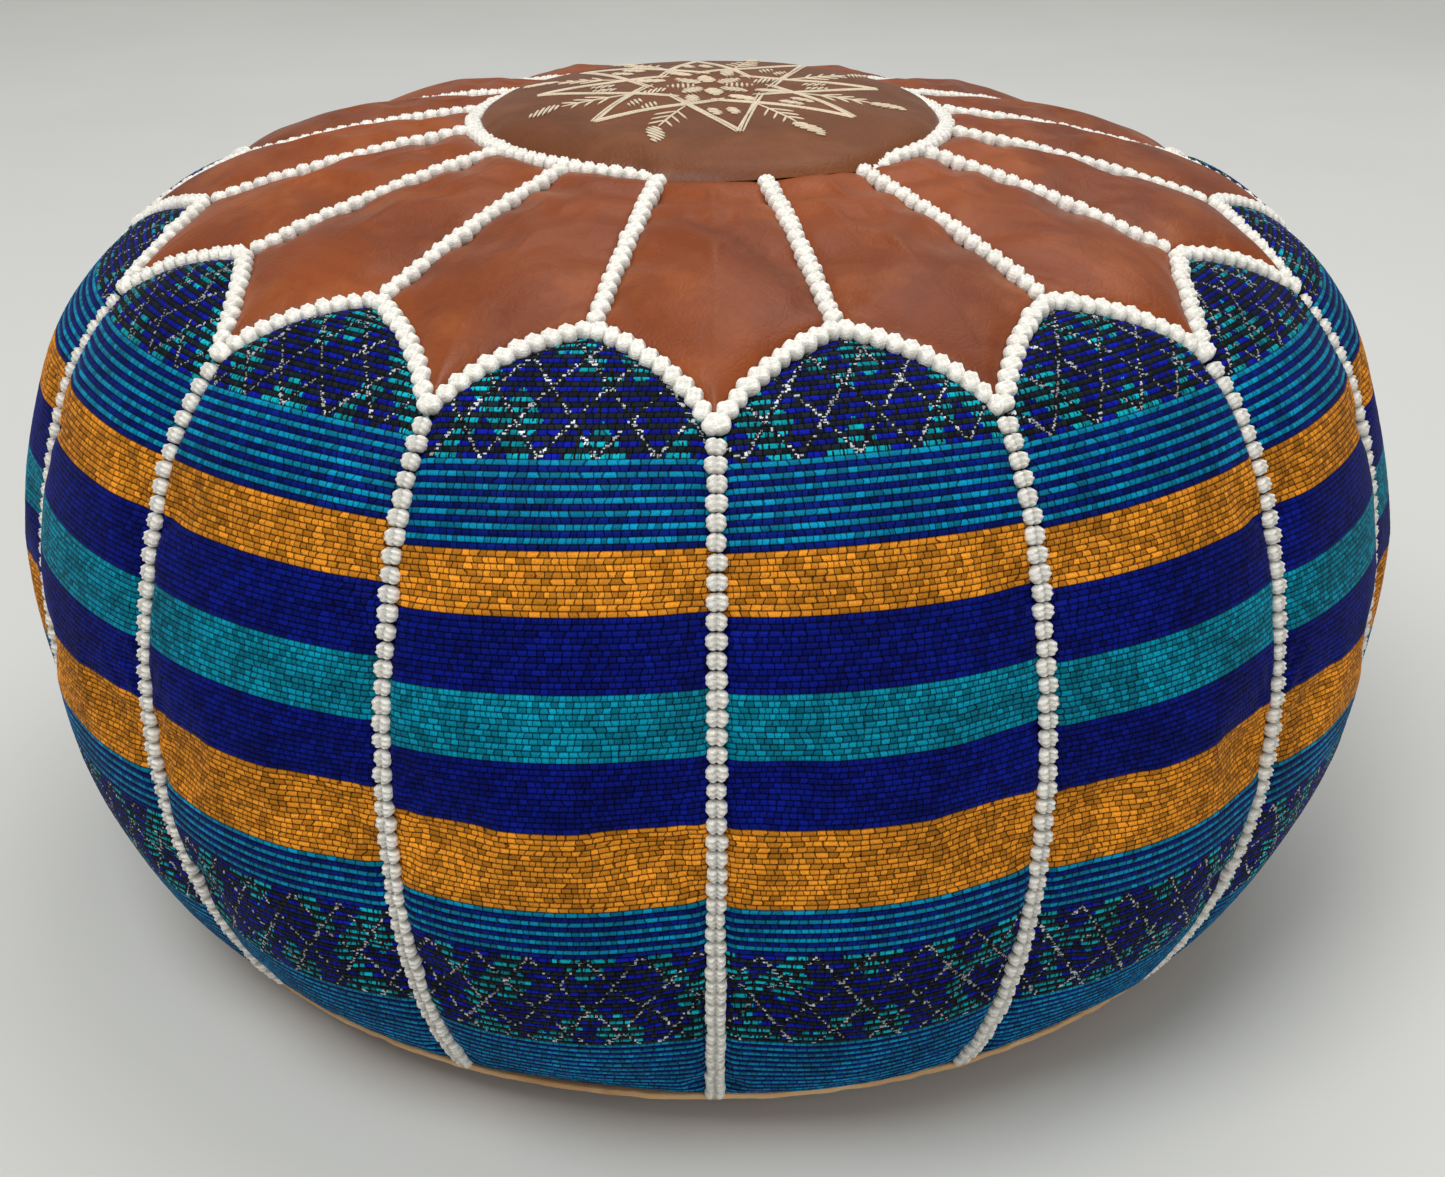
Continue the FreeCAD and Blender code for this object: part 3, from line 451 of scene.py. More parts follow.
def puffed_heights():
    """Height of every grid point over the outline after the cloth has been blown out between its seams."""
    phi, s = cover_grid()
    rows, cols = s.shape
    start = starting_puff(phi, rows)
    obj = make_mesh("cover_cloth", surface(phi, s, start).reshape(-1, 3), grid_faces(rows, cols, wrap=True))
    column = np.arange(cols) % COLS_PER_PANEL
    held = np.zeros((rows, cols), dtype=bool)
    held[[0, TOP_ROWS, rows - 1]] = True
    held[:TOP_ROWS, column == COLS_PER_PANEL // 2] = True
    held[TOP_ROWS:, column == 0] = True
    group = obj.vertex_groups.new(name="seams")
    group.add([int(i) for i in np.flatnonzero(held.ravel())], 1.0, "REPLACE")
    cloth = obj.modifiers.new("cloth", "CLOTH")
    settings = cloth.settings
    settings.quality = 5
    settings.mass = CLOTH_MASS
    settings.tension_stiffness = CLOTH_STIFFNESS
    settings.compression_stiffness = CLOTH_STIFFNESS
    settings.shear_stiffness = CLOTH_SHEAR
    settings.bending_stiffness = CLOTH_BENDING
    settings.shrink_min = -CLOTH_GROWTH
    settings.use_pressure = True
    settings.uniform_pressure_force = CLOTH_PRESSURE
    settings.vertex_group_mass = "seams"
    settings.effector_weights.gravity = 0.0
    cloth.collision_settings.use_collision = False
    cloth.point_cache.frame_end = SIM_FRAMES
    for number in range(1, SIM_FRAMES + 1):
        bpy.context.scene.frame_set(number)
    shown = obj.evaluated_get(bpy.context.evaluated_depsgraph_get()).to_mesh()
    points = np.empty(rows * cols * 3, dtype=np.float32)
    shown.vertices.foreach_get("co", points)
    moved = points.reshape(rows, cols, 3) - surface(phi, s, 0.0)
    height = (moved * normal(phi, s)).sum(-1)
    bpy.data.objects.remove(obj, do_unlink=True)
    bpy.context.scene.frame_set(1)
    return np.clip(height, PUFF_FLOOR, PUFF_LIMIT)


HEIGHTS = puffed_heights()


def panel_heights(first_column, rows):
    """One panel's part of the height grid, both of its seams included."""
    columns = (first_column + np.arange(COLS_PER_PANEL + 1)) % HEIGHTS.shape[1]
    return HEIGHTS[rows][:, columns]


# ---------------------------------------------------------------- side panels
ZERO_LINE = 0.27219
SIDE_COLS = 144
SAMPLES_PER_RIB = 3
RIB_DEPTH = 0.00038
BRICK_LIFT = 0.00009
PANEL_PUCKER = 0.0008
PANEL_DENTS = 0.0012
PANEL_TUCK = 0.0022
PANEL_TUCK_WIDTH = 0.0028
PATTERN, STRIPE, GOLD, NAVY, TEAL = range(5)
BAND_STARTS = [(-99, PATTERN), (8, STRIPE), (22, GOLD), (32, NAVY), (44, TEAL), (55, NAVY), (67, GOLD),
               (82, STRIPE), (92, PATTERN), (116, STRIPE)]
UPPER_PATTERN_END = 8
LOWER_PATTERN_START = 92
MOTIF_ROWS = 12
MOTIF_PERIOD_MM = 70.0
GOLD_DYE = np.array(linear(184, 116, 30))
NAVY_DYE = np.array(linear(4, 16, 98))
TEAL_DYE = np.array(linear(2, 112, 136))
STRIPE_BLUE = np.array(linear(2, 20, 92))
STRIPE_TEAL = np.array(linear(3, 110, 144))
GROUND_DYE = np.array(linear(20, 26, 32))
DIAGONAL_MM = 2.7
LATTICE_MM = 17.5
DASH_MM = 9.6
TEAL_BRICK_MM = 1.7
RAISED_SHARE = 0.56
DASH_BLUE = np.array(linear(6, 18, 128))
DASH_TEAL = np.array(linear(6, 138, 152))
LUREX = np.array(linear(168, 172, 178))
TILTS_MM = {15: (0.0, 0.0), 16: (-6.5, 0.0), 1: (-2.0, 0.0), 2: (-3.0, 0.0)}


def motif(x, k):
    """Where teal figures stand on x millimetres from a figure's middle, k row pairs from its wide end."""
    a = np.abs(x)
    teal = np.zeros(a.shape, dtype=bool)
    for row, half in ((0, 9.5), (1, 6.0), (2, 2.6), (6, 2.5), (7, 3.7)):
        teal |= (k == row) & (a < half)
    teal |= (k >= 8) & (k <= 9) & (a > 3.3) & (a < 10.6)
    teal |= (k >= 10) & (a > 8) & (a < 15)
    return teal


def weave_colours(x, v, panel):
    """Colour of the cloth x mm from the panel's middle and v ribs below the valley; alpha falls on lurex."""
    row = np.floor(v)
    colour = np.empty((*x.shape, 3))
    shine = np.zeros(x.shape)
    band = np.zeros(x.shape, dtype=int)
    for start, kind in BAND_STARTS:
        band[row >= start] = kind
    for kind, dye in ((GOLD, GOLD_DYE), (NAVY, NAVY_DYE), (TEAL, TEAL_DYE)):
        colour[band == kind] = dye
    striped = band == STRIPE
    colour[striped] = np.where((row[striped] % 2 == 0)[:, None], STRIPE_TEAL, STRIPE_BLUE)
    figured = band == PATTERN
    upper = row < UPPER_PATTERN_END
    pair = np.where(upper, np.floor((UPPER_PATTERN_END - 1 - row) / 2), np.floor((row - LOWER_PATTERN_START) / 2))
    within = np.where(upper, (UPPER_PATTERN_END - v) / 2, (v - LOWER_PATTERN_START) / 2) % 1.0
    phase = (hashed(panel, 3, SEED) - 0.5) * 24.0
    centred = (x + phase + MOTIF_PERIOD_MM / 2) % MOTIF_PERIOD_MM - MOTIF_PERIOD_MM / 2
    k = pair % MOTIF_ROWS
    half_period = MOTIF_PERIOD_MM / 2
    teal = motif(centred, k) | motif(half_period - np.abs(centred), MOTIF_ROWS - 1 - k)
    fine = pair + within
    rise, fall = centred + DIAGONAL_MM * fine, centred - DIAGONAL_MM * fine
    near_line = np.minimum(*(np.abs((d / LATTICE_MM + 0.5) % 1.0 - 0.5) * LATTICE_MM for d in (rise, fall)))
    blocks = (np.floor(rise / LATTICE_MM + 0.5) + 2 * np.floor(fall / LATTICE_MM + 0.5)) % 5 == 0
    teal |= blocks
    slot = (centred / DASH_MM + 0.5 * (pair % 2) + 0.2 * hashed(pair, 9, SEED)) % 1.0
    slot = np.where(teal, (x / TEAL_BRICK_MM + hashed(pair, 5, SEED)) % 1.0, slot)
    taper = np.where(teal, 0.80, 0.90 - 0.5 * np.abs(within / RAISED_SHARE - 0.5) ** 2 * 1.2)
    raised = (within < RAISED_SHARE) & (np.abs(slot - 0.5) * 2 < taper) & (near_line > 1.0)
    figure = np.where((teal & raised)[..., None], DASH_TEAL, np.where(raised[..., None], DASH_BLUE, GROUND_DYE))
    speck = hashed(np.floor(x / 0.8), np.floor(v * 3), SEED + panel) < 0.42
    stray = 0.55 * noise(x / 2.6, v / 1.7, SEED + 31)
    lurex = (np.abs(near_line + stray) < 0.62) & speck
    figure[lurex] = LUREX
    shine[lurex] = 1.0
    colour[figured] = figure[figured]
    shine[~figured] = 0.0
    worn = 1 + 0.10 * noise(x / 14.0, v / 9.0, panel + SEED)
    return np.concatenate([colour * worn[..., None], 1.0 - 0.75 * shine[..., None]], -1)


def make_side_panel(number):
    """One brocade panel: a row of mesh for each part of a rib, clipped at the hem and under the arch cord."""
    left, right = TILTS_MM.get(number, ((hashed(number, 1, SEED) - 0.7) * 4.0, (hashed(number, 2, SEED) - 0.5) * 2.0))
    start = (number - 1) * PITCH
    across = np.linspace(0, 1, SIDE_COLS + 1)
    phi = start + across * PITCH
    offset = (left + (right - left) * across) * 0.001
    arch = arch_line(phi)
    first = -math.ceil((S_RING - ZERO_LINE) / RIB / 4 * 1.2 + 8)
    last = math.ceil((ZERO_LINE + 0.008) / RIB)
    steps = np.arange(first * SAMPLES_PER_RIB, last * SAMPLES_PER_RIB + 1)
    v = steps / SAMPLES_PER_RIB
    raw = ZERO_LINE + offset[None, :] - v[:, None] * RIB
    s = np.clip(raw, S_HEM, arch[None, :])
    fraction = (arch - s) / (arch - S_HEM)
    base = cubic(panel_heights((number - 1) * COLS_PER_PANEL, slice(TOP_ROWS, None)),
                 fraction * SIDE_ROWS, np.broadcast_to(across * COLS_PER_PANEL, s.shape))
    r = np.interp(s, OUTLINE[:, 0], OUTLINE[:, 1])
    x = (across - 0.5) * PITCH * r
    seam = np.minimum(across, 1 - across) * PITCH * r
    along = s / 0.011
    pucker = PANEL_PUCKER * np.exp(-seam / 0.014) * noise(along + number * 7, seam / 0.03, SEED + number)
    dents = PANEL_DENTS * noise(x / 0.05 + number * 3, s / 0.07, SEED + 2) * np.minimum(seam / 0.02, 1)
    phase = steps % SAMPLES_PER_RIB
    relief = np.where(phase == 0, -0.55, 0.45)[:, None] * RIB_DEPTH
    brick = np.floor(x / BRICK + hashed(np.floor(v), 1, SEED)[:, None] * 2)
    relief = relief + np.where(phase == 0, 0.0, BRICK_LIFT)[:, None] * (hashed(brick, np.floor(v)[:, None], SEED) - 0.5)
    edge = np.minimum(seam, (arch - s) * 0.8)
    tuck = -PANEL_TUCK * np.exp(-(edge / PANEL_TUCK_WIDTH) ** 2)
    points = surface(phi[None, :], s, base + pucker + dents + relief + tuck)
    faces = grid_faces(*s.shape)
    clipped = ((raw > arch[None, :]) | (raw < S_HEM)).ravel()
    keep = ~clipped[faces].all(1)
    middle_x = (x[:-1, :-1] + x[1:, 1:]) * 500
    middle_v = np.broadcast_to(((v[:-1] + v[1:]) / 2)[:, None], middle_x.shape)
    colours = weave_colours(middle_x, middle_v, number).reshape(-1, 4)[keep]
    u = 0.5 + x / PANEL_UV_WIDTH
    w = np.broadcast_to(((v - v[0]) * RIB / PANEL_UV_HEIGHT)[:, None], s.shape)
    used, packed = np.unique(faces[keep], return_inverse=True)
    uv = np.stack([u, w], -1).reshape(-1, 2)[used]
    panel = make_mesh(f"side_cloth_{number:02d}", points.reshape(-1, 3)[used], packed.reshape(-1, 4)[:, ::-1],
                      uv, colours)
    return settle(panel, BROCADE, [f"side_panel_{number:02d}"])


# ---------------------------------------------------------------- petals and medallion
PETAL_COLS = 84
PETAL_LINES = 112
PETAL_SLACK = 0.0007
PETAL_TUCK = 0.0020
PETAL_TUCK_WIDTH = 0.0030


def make_petal(number):
    """One leather petal, pulled down along its seams with small gathers running off them."""
    centre = (number - 1) * PITCH
    across = np.linspace(-1, 1, PETAL_COLS + 1)
    down = np.linspace(0, 1, PETAL_LINES + 1)[:, None]
    phi = centre + across * HALF
    arch = arch_line(phi)
    s = S_RING + (arch - S_RING) * down
    base = cubic(panel_heights((number - 1) * COLS_PER_PANEL - COLS_PER_PANEL // 2, slice(0, TOP_ROWS + 1)),
                 np.broadcast_to(down * TOP_ROWS, s.shape),
                 np.broadcast_to((across + 1) / 2 * COLS_PER_PANEL, s.shape))
    r = np.interp(s, OUTLINE[:, 0], OUTLINE[:, 1])
    x = across * HALF * r
    side_gap = (1 - np.abs(across)) * HALF * r
    foot_gap = (s - arch) * 0.8
    ring_gap = S_RING - s
    edge = np.minimum(np.minimum(side_gap, foot_gap), ring_gap)
    gather = 0.0007 * np.exp(-side_gap / 0.010) * noise(s / 0.009 + number * 5, side_gap / 0.02, SEED + number)
    gather += 0.0008 * np.exp(-foot_gap / 0.012) * noise(x / 0.008 + number, foot_gap / 0.02, SEED + 3 * number)
    gather += 0.0006 * np.exp(-ring_gap / 0.012) * noise(x / 0.005 + number, ring_gap / 0.03, SEED + 5 * number)
    slack = PETAL_SLACK * noise(x / 0.035 + number * 2.3, s / 0.05, SEED + 9) * np.clip(edge / 0.015, 0, 1)
    fold = 0.00015 * noise((x + s) / 0.012 + number, (x - s) / 0.06, SEED + 21) * np.clip(edge / 0.01, 0, 1)
    tuck = -PETAL_TUCK * np.exp(-(edge / PETAL_TUCK_WIDTH) ** 2)
    points = surface(phi[None, :], s, base + gather + slack + fold + tuck).reshape(-1, 3)
    uv = np.stack([np.broadcast_to((across + 1) / 2, s.shape), np.broadcast_to(down, s.shape)], -1)
    petal = make_mesh(f"petal_leather_{number:02d}", points, grid_faces(*s.shape)[:, ::-1], uv.reshape(-1, 2))
    return settle(petal, PETAL_LEATHER, [f"petal_{number:02d}"])


MEDALLION_PUFF = 0.0080
MEDALLION_EDGE = 0.0075
OVERHANG = 0.0050
OVERHANG_MIDDLE = math.radians(14)
OVERHANG_HALF = math.radians(26)


def medallion_height(x, y):
    """Height of the medallion over the outline: a low pillow that drops steeply at its ring."""
    r = np.hypot(x, y)
    gap = np.clip(RING_R - r, 0, None)
    turn = np.arctan2(x, -y)
    pillow = MEDALLION_PUFF * (1 - np.exp(-gap / MEDALLION_EDGE)) - 0.0016 * np.exp(-(gap / 0.003) ** 2)
    gather = 0.0005 * np.exp(-gap / 0.010) * noise(turn * 14 + 40, gap / 0.02, SEED + 60)
    slack = 0.0009 * noise(x / 0.03 + 9, y / 0.03 + 4, SEED + 61) * np.clip(gap / 0.02, 0, 1)
    return pillow + gather + slack


def medallion_point(x, y, lift=0.0):
    """Points on the medallion over plan positions x, y."""
    return surface(np.arctan2(x, -y), length_at(np.hypot(x, y)), medallion_height(x, y) + lift)


def make_medallion():
    turns, rings = 220, 64
    phi = np.linspace(0, 2 * math.pi, turns, endpoint=False)[None, :]
    r = np.linspace(RING_R, 0.0006, rings)[:, None]
    x, y = r * np.sin(phi), -r * np.cos(phi)
    points = medallion_point(x, y)
    away = (phi - OVERHANG_MIDDLE + math.pi) % (2 * math.pi) - math.pi
    hang = OVERHANG * np.exp(-(away / OVERHANG_HALF) ** 4) * np.exp(-((RING_R - r) / 0.006) ** 2)
    points[..., 0] += hang * np.sin(phi)
    points[..., 1] -= hang * np.cos(phi)
    points[..., 2] += hang * 0.45
    points = points.reshape(-1, 3)
    faces = grid_faces(rings, turns, wrap=True)
    centre = len(points)
    points = np.concatenate([points, medallion_point(np.zeros(1), np.full(1, -1e-5))])
    last = np.arange(turns) + (rings - 1) * turns
    cap = np.stack([last, np.roll(last, -1), np.full(turns, centre)], 1)
    quads = np.concatenate([faces[:, [0, 1, 2]], faces[:, [0, 2, 3]], cap])
    uv = 0.5 + points[:, :2] / (2.2 * RING_R)
    disc = make_mesh("medallion_leather", points, quads, uv)
    return settle(disc, MEDALLION_LEATHER, ["medallion"])


# ---------------------------------------------------------------- knotted cords
KNOT_PITCH = {"square": 0.0059, "slanted": 0.0054}
KNOT_SIZE = {"square": (0.00292, 0.0033, 0.0032), "slanted": (0.0030, 0.0035, 0.0032)}


def knot(kind):
    """Points and faces of one knot, about 2 by 2 by 2, along x, across y and proud along z, and a painted shade value
    for each point that darkens its hollows.
    """
    rings, turns = 17, 24
    lat = np.linspace(0, np.pi, rings)[1:-1, None]
    lon = np.linspace(0, 2 * np.pi, turns, endpoint=False)[None, :]
    p = np.stack(np.broadcast_arrays(np.cos(lat), np.sin(lat) * np.cos(lon), np.sin(lat) * np.sin(lon)), -1)
    p = p.reshape(-1, 3)
    p = np.concatenate([p, [[1.0, 0, 0], [-1.0, 0, 0]]])
    p = np.sign(p) * np.abs(p) ** (0.84 if kind == "square" else 0.86)
    x, y = p[:, 0], p[:, 1]
    if kind == "square":
        split = np.exp(-(y / 0.17) ** 2)
        rows = np.cos(9.4 * x + 3.0 * np.abs(y))
        ends = np.abs(x) ** 4
        grooves = 0.46 * split + 0.15 * (1 - rows)
        p = p * np.stack([1 - 0.10 * split, 1 + 0.05 * rows, 1 - grooves], 1)
        # painted shade: darker in the middle split, between the strand rows and towards the tucked ends
        painted_hollow_shade = 0.85 * split + 0.42 * (1 - rows) + 0.60 * ends
    else:
        split = np.exp(-((y - 0.30 * x) / 0.22) ** 2)
        twist = np.cos(10.0 * x + 3.0 * y)
        p = p * np.stack([1 + 0.04 * np.cos(8 * y), np.ones_like(x), 1 + 0.14 * twist - 0.20 * split], 1)
        # painted shade: darker in the split, between the twists and towards the tucked ends
        painted_hollow_shade = 0.50 * split - 0.45 * twist + 0.60 * np.abs(x) ** 3
    count = rings - 2
    index = np.arange(count * turns).reshape(count, turns)
    faces = []
    for i in range(count - 1):
        for j in range(turns):
            a, b = index[i, j], index[i, (j + 1) % turns]
            c, d = index[i + 1, (j + 1) % turns], index[i + 1, j]
            faces += [(a, b, c), (a, c, d)]
    top, bottom = count * turns, count * turns + 1
    faces += [(top, index[0, (j + 1) % turns], index[0, j]) for j in range(turns)]
    faces += [(bottom, index[-1, j], index[-1, (j + 1) % turns]) for j in range(turns)]
    return p, np.array(faces)[:, ::-1], np.clip(painted_hollow_shade, 0, 1)


KNOTS = {kind: knot(kind) for kind in ("square", "slanted")}
RANDOM = np.random.default_rng(SEED)


def knots_along(route, kind, width=1.0):
    """Points, faces and colours of knots set at an even pitch along route, rows of azimuth, length and height; the
    colours carry the painted shade of the knots' hollows.
    """
    spots = surface(route[:, 0], route[:, 1], route[:, 2])
    up = normal(route[:, 0], route[:, 1])
    run = np.concatenate([[0], np.cumsum(np.linalg.norm(np.diff(spots, axis=0), axis=1))])
    count = max(2, round(run[-1] / KNOT_PITCH[kind]))
    at = (np.arange(count) + 0.5) * run[-1] / count
    centre = np.stack([np.interp(at, run, spots[:, i]) for i in range(3)], 1)
    ahead = np.stack([np.interp(at + 0.001, run, spots[:, i]) - np.interp(at - 0.001, run, spots[:, i])
                      for i in range(3)], 1)
    out = np.stack([np.interp(at, run, up[:, i]) for i in range(3)], 1)
    ahead /= np.linalg.norm(ahead, axis=1)[:, None]
    across = np.cross(out, ahead)
    across /= np.linalg.norm(across, axis=1)[:, None]
    out = np.cross(ahead, across)
    shape, faces, painted_hollow_shade = KNOTS[kind]
    points = []
    for i in range(count):
        grow = 1 + RANDOM.normal(0, 0.05, 3)
        slant = RANDOM.normal(0, 0.07) + (0.55 if kind == "slanted" else 0.0)
        local = shape * np.array(KNOT_SIZE[kind]) * np.array([1, width, 1]) * grow
        c, s = math.cos(slant), math.sin(slant)
        x = local[:, 0] * c - local[:, 1] * s
        y = local[:, 0] * s + local[:, 1] * c + RANDOM.normal(0, 0.00018)
        points.append(centre[i] + x[:, None] * ahead[i] + y[:, None] * across[i] + local[:, 2:] * out[i])
    shifts = np.arange(count)[:, None, None] * len(shape)
    faces = (faces[None] + shifts).reshape(-1, 3)
    # painted shade of the knots' hollows, carried in the red and blue of the weave attribute
    knot_shade = np.tile(painted_hollow_shade, count)[faces].mean(1)
    soil = 1 + 0.06 * (hashed(faces[:, 0] // len(shape), 0, SEED) - 0.5)
    return np.concatenate(points), faces, np.stack([knot_shade, soil, knot_shade, np.ones_like(knot_shade)], 1)


def joined(parts):
    """One set of points and faces from several."""
    points, faces, colours, total = [], [], [], 0
    for p, f, c in parts:
        points.append(p)
        faces.append(f + total)
        colours.append(c)
        total += len(p)
    return np.concatenate(points), np.concatenate(faces), np.concatenate(colours)


CORD_SEAT = 0.0004


def route_between(phi, s, height=CORD_SEAT, steps=160):
    t = np.linspace(0, 1, steps)
    return np.stack([phi[0] + (phi[1] - phi[0]) * t, s[0] + (s[1] - s[0]) * t, np.full(steps, height)], 1)


def make_cords():
    """All the seam cords, one piece for each seam or side of an arch."""
    for i in range(PANELS):
        phi = i * PITCH
        name = f"side_cord_{i + 1:02d}"
        p, f, c = knots_along(route_between((phi, phi), (S_HEM + 0.001, S_VALLEY - 0.002)), "square")
        settle(make_mesh(name, p, f, colour=c), CORD, ["side_seam_cords"])
        p, f, c = knots_along(route_between((phi + HALF,) * 2, (S_RING - 0.003, length_at(PEAK_R) + 0.003)), "slanted",
                           0.92)
        settle(make_mesh(f"petal_cord_{i + 1:02d}", p, f, colour=c), CORD, ["petal_seam_cords"])
        sides = []
        for first, last in ((phi, phi + HALF), (phi + HALF, phi + PITCH)):
            turn = np.linspace(first, last, 160)
            route = np.stack([turn, arch_line(turn), np.full(160, CORD_SEAT + 0.0004)], 1)
            sides.append(knots_along(route, "slanted"))
        p, f, c = joined(sides)
        settle(make_mesh(f"arch_cord_{i + 1:02d}", p, f, colour=c), CORD, ["arch_seam_cord"])
    turn = np.linspace(0, 2 * math.pi, 900)
    away = (turn - OVERHANG_MIDDLE + math.pi) % (2 * math.pi) - math.pi
    sunk = 0.0046 * np.exp(-(away / OVERHANG_HALF / 1.1) ** 6)
    route = np.stack([turn, np.full(900, S_RING), CORD_SEAT - sunk], 1)
    p, f, c = knots_along(route, "slanted")
    settle(make_mesh("medallion_cord", p, f, colour=c), CORD, ["medallion_seam_cord"])


# ---------------------------------------------------------------- embroidery
THREAD = 0.00056
SPREAD = 0.92


def thread(points, width=THREAD, lift=0.0002):
    """A low flattened thread laid over plan points, five-sided, pulled in at both ends."""
    points = np.asarray(points, dtype=float)
    run = np.concatenate([[0], np.cumsum(np.linalg.norm(np.diff(points, axis=0), axis=1))])
    count = max(3, int(run[-1] / 0.0016) + 2)
    at = np.linspace(0, run[-1], count)
    x, y = (np.interp(at, run, points[:, i]) for i in (0, 1))
    end = np.sin(np.pi * np.linspace(0.08, 0.92, count)) ** 0.35
    centre = medallion_point(x, y, lift)
    ahead = np.gradient(centre, axis=0)
    ahead /= np.linalg.norm(ahead, axis=1)[:, None]
    up = normal(np.arctan2(x, -y), length_at(np.hypot(x, y)))
    side = np.cross(up, ahead)
    angle = np.linspace(0, 2 * np.pi, 6, endpoint=False)[None, :, None]
    reach = (width * end)[:, None, None]
    body = centre[:, None] + side[:, None] * np.cos(angle) * reach + up[:, None] * np.sin(angle) * reach * 0.7
    quads = grid_faces(count, 6, wrap=True)
    caps = [(0, j + 1, j) for j in range(1, 5)] + [((count - 1) * 6, (count - 1) * 6 + j, (count - 1) * 6 + j + 1)
                                                  for j in range(1, 5)]
    faces = np.concatenate([quads[:, [0, 2, 1]], quads[:, [0, 3, 2]], np.array(caps)])
    tone = 0.30 * hashed(points[0, 0] * 9000, points[0, 1] * 7000, SEED)
    return body.reshape(-1, 3), faces, np.tile([tone, 1.0, tone, 1.0], (len(faces), 1))


def polar(r, turn):
    return SPREAD * np.array([r * math.sin(turn), -r * math.cos(turn)])


def satin_leaf(base, tip, width, slant=0.5):
    """Slanted stitches that fill a pointed leaf from base to tip."""
    axis = tip - base
    length = np.linalg.norm(axis)
    ahead = axis / length
    side = np.array([-ahead[1], ahead[0]])
    count = int(length / 0.0019)
    stitches = []
    for i in range(count):
        t = (i + 0.5) / count
        half = width * math.sin(math.pi * t**0.8) ** 0.8 + 0.0003
        middle = base + axis * t
        lean = ahead * half * slant
        stitches.append(thread([middle - side * half - lean, middle + side * half + lean], 0.00062, 0.0003))
    return stitches


def sprig(base, tip, barb):
    """A stem with paired barbs that lean towards its tip."""
    axis = tip - base
    length = np.linalg.norm(axis)
    ahead = axis / length
    side = np.array([-ahead[1], ahead[0]])
    parts = [thread([base, tip])]
    for t in (0.30, 0.52, 0.74):
        for way in (-1, 1):
            start = base + axis * t
            reach = barb * (1.1 - 0.6 * t)
            parts.append(thread([start, start + ahead * reach * 0.75 + side * way * reach * 0.65]))
    return parts


def make_embroidery():
    parts = []
    points = 8
    step = 2 * math.pi / points
    for i in range(points):
        turn = i * step + 0.12
        jitter = RANDOM.normal(0, 0.025, 6)
        tip = polar(0.072, turn + jitter[0])
        for shift in (0.0, 0.0022, -0.0022):
            for way in (-1, 1):
                heel = polar(0.024 + abs(shift), turn + way * (1.15 + jitter[1]) * step)
                parts.append(thread([tip + polar(shift * 0.6, turn + math.pi / 2), heel]))
        between = turn + step / 2
        parts += sprig(polar(0.038, between), polar(0.068, between + jitter[3]), 0.0105)
        parts += satin_leaf(polar(0.069, between + jitter[3]), polar(0.083, between + jitter[2]), 0.0034, 0.9)
        parts += satin_leaf(polar(0.006, turn), polar(0.019, turn + jitter[4]), 0.0033, 0.2)
        parts += satin_leaf(polar(0.021, between), polar(0.032, between + jitter[5]), 0.0032, 0.9)
        for way in (-1, 1):
            parts += satin_leaf(polar(0.040, turn + way * 0.10), polar(0.050, turn + way * 0.07), 0.0022, 0.8)
    p, f, c = joined(parts)
    return settle(make_mesh("medallion_silk", p, f, colour=c), SILK, ["medallion_embroidery"])


# ---------------------------------------------------------------- inside the cover and under it
def closed_form(name, inset, lumps, seed, columns=120, rows=72):
    """A lumpy closed form inside the cover, inset from its outline, with a flat underside."""
    keep = OUTLINE[:: max(1, len(OUTLINE) // rows)]
    r = keep[:, 1] - keep[:, 3] * inset
    z = keep[:, 2] - keep[:, 4] * inset
    r, z = np.clip(r, 0.001, None), np.maximum(z, 0.012 + inset * 0.5)
    phi = np.linspace(0, 2 * np.pi, columns, endpoint=False)
    wave = noise(np.sin(phi)[None, :] * 4 + 10, np.cos(phi)[None, :] * 4 + z[:, None] * 22, seed)
    fade = np.clip((z - z.min()) / 0.03, 0, 1)[:, None]
    reach = r[:, None] - lumps * (0.5 + 0.5 * wave) * fade
    reach = np.clip(reach, 0.0008, None)
    high = np.broadcast_to(z[:, None], reach.shape) - lumps * 0.5 * (0.5 + 0.5 * wave) * fade
    x, y = reach * np.sin(phi), -reach * np.cos(phi)
    ring = np.stack([x, y, high], -1).reshape(-1, 3)
    quads = grid_faces(len(r), columns, wrap=True)
    bottom, top = len(ring), len(ring) + 1
    ring = np.concatenate([ring, [[0, 0, high[0].mean()]], [[0, 0, high[-1].mean()]]])
    low = np.arange(columns)
    high_row = low + (len(r) - 1) * columns
    faces = np.concatenate([quads[:, [0, 1, 2]], quads[:, [0, 2, 3]],
                            np.stack([np.full(columns, bottom), np.roll(low, -1), low], 1),
                            np.stack([np.full(columns, top), high_row, np.roll(high_row, -1)], 1)])
    return make_mesh(name, ring, faces)


def make_inside():
    sack = closed_form("sack_cloth", 0.0045, 0.003, SEED + 80)
    settle(sack, SACK, ["inner_sack"])
    filling = closed_form("stuffing_wool", 0.0090, 0.006, SEED + 81)
    settle(filling, FILLING, ["stuffing"])


BASE_FLAT_R = 0.190
BASE_RIM_R = 0.2290
BASE_RIM_Z = 0.0176
SLOT_X = 0.180
SLOT_Y = 0.009
HEM_FOLD_Z = 0.0074
STITCH_LINE = SLOT_Y + 0.0042
STITCH_PITCH = 0.0075
STITCH_SIZE = (0.0026, 0.00042, 0.00036)
STITCH_HEIGHT = 0.0004
HEM_CORNER = 0.0012
BASE_CREASE = 0.0011
BASE_PULL = 0.0007
STITCH_GROOVE = 0.0008
BASE_COLS = 110
BASE_ROWS = 64


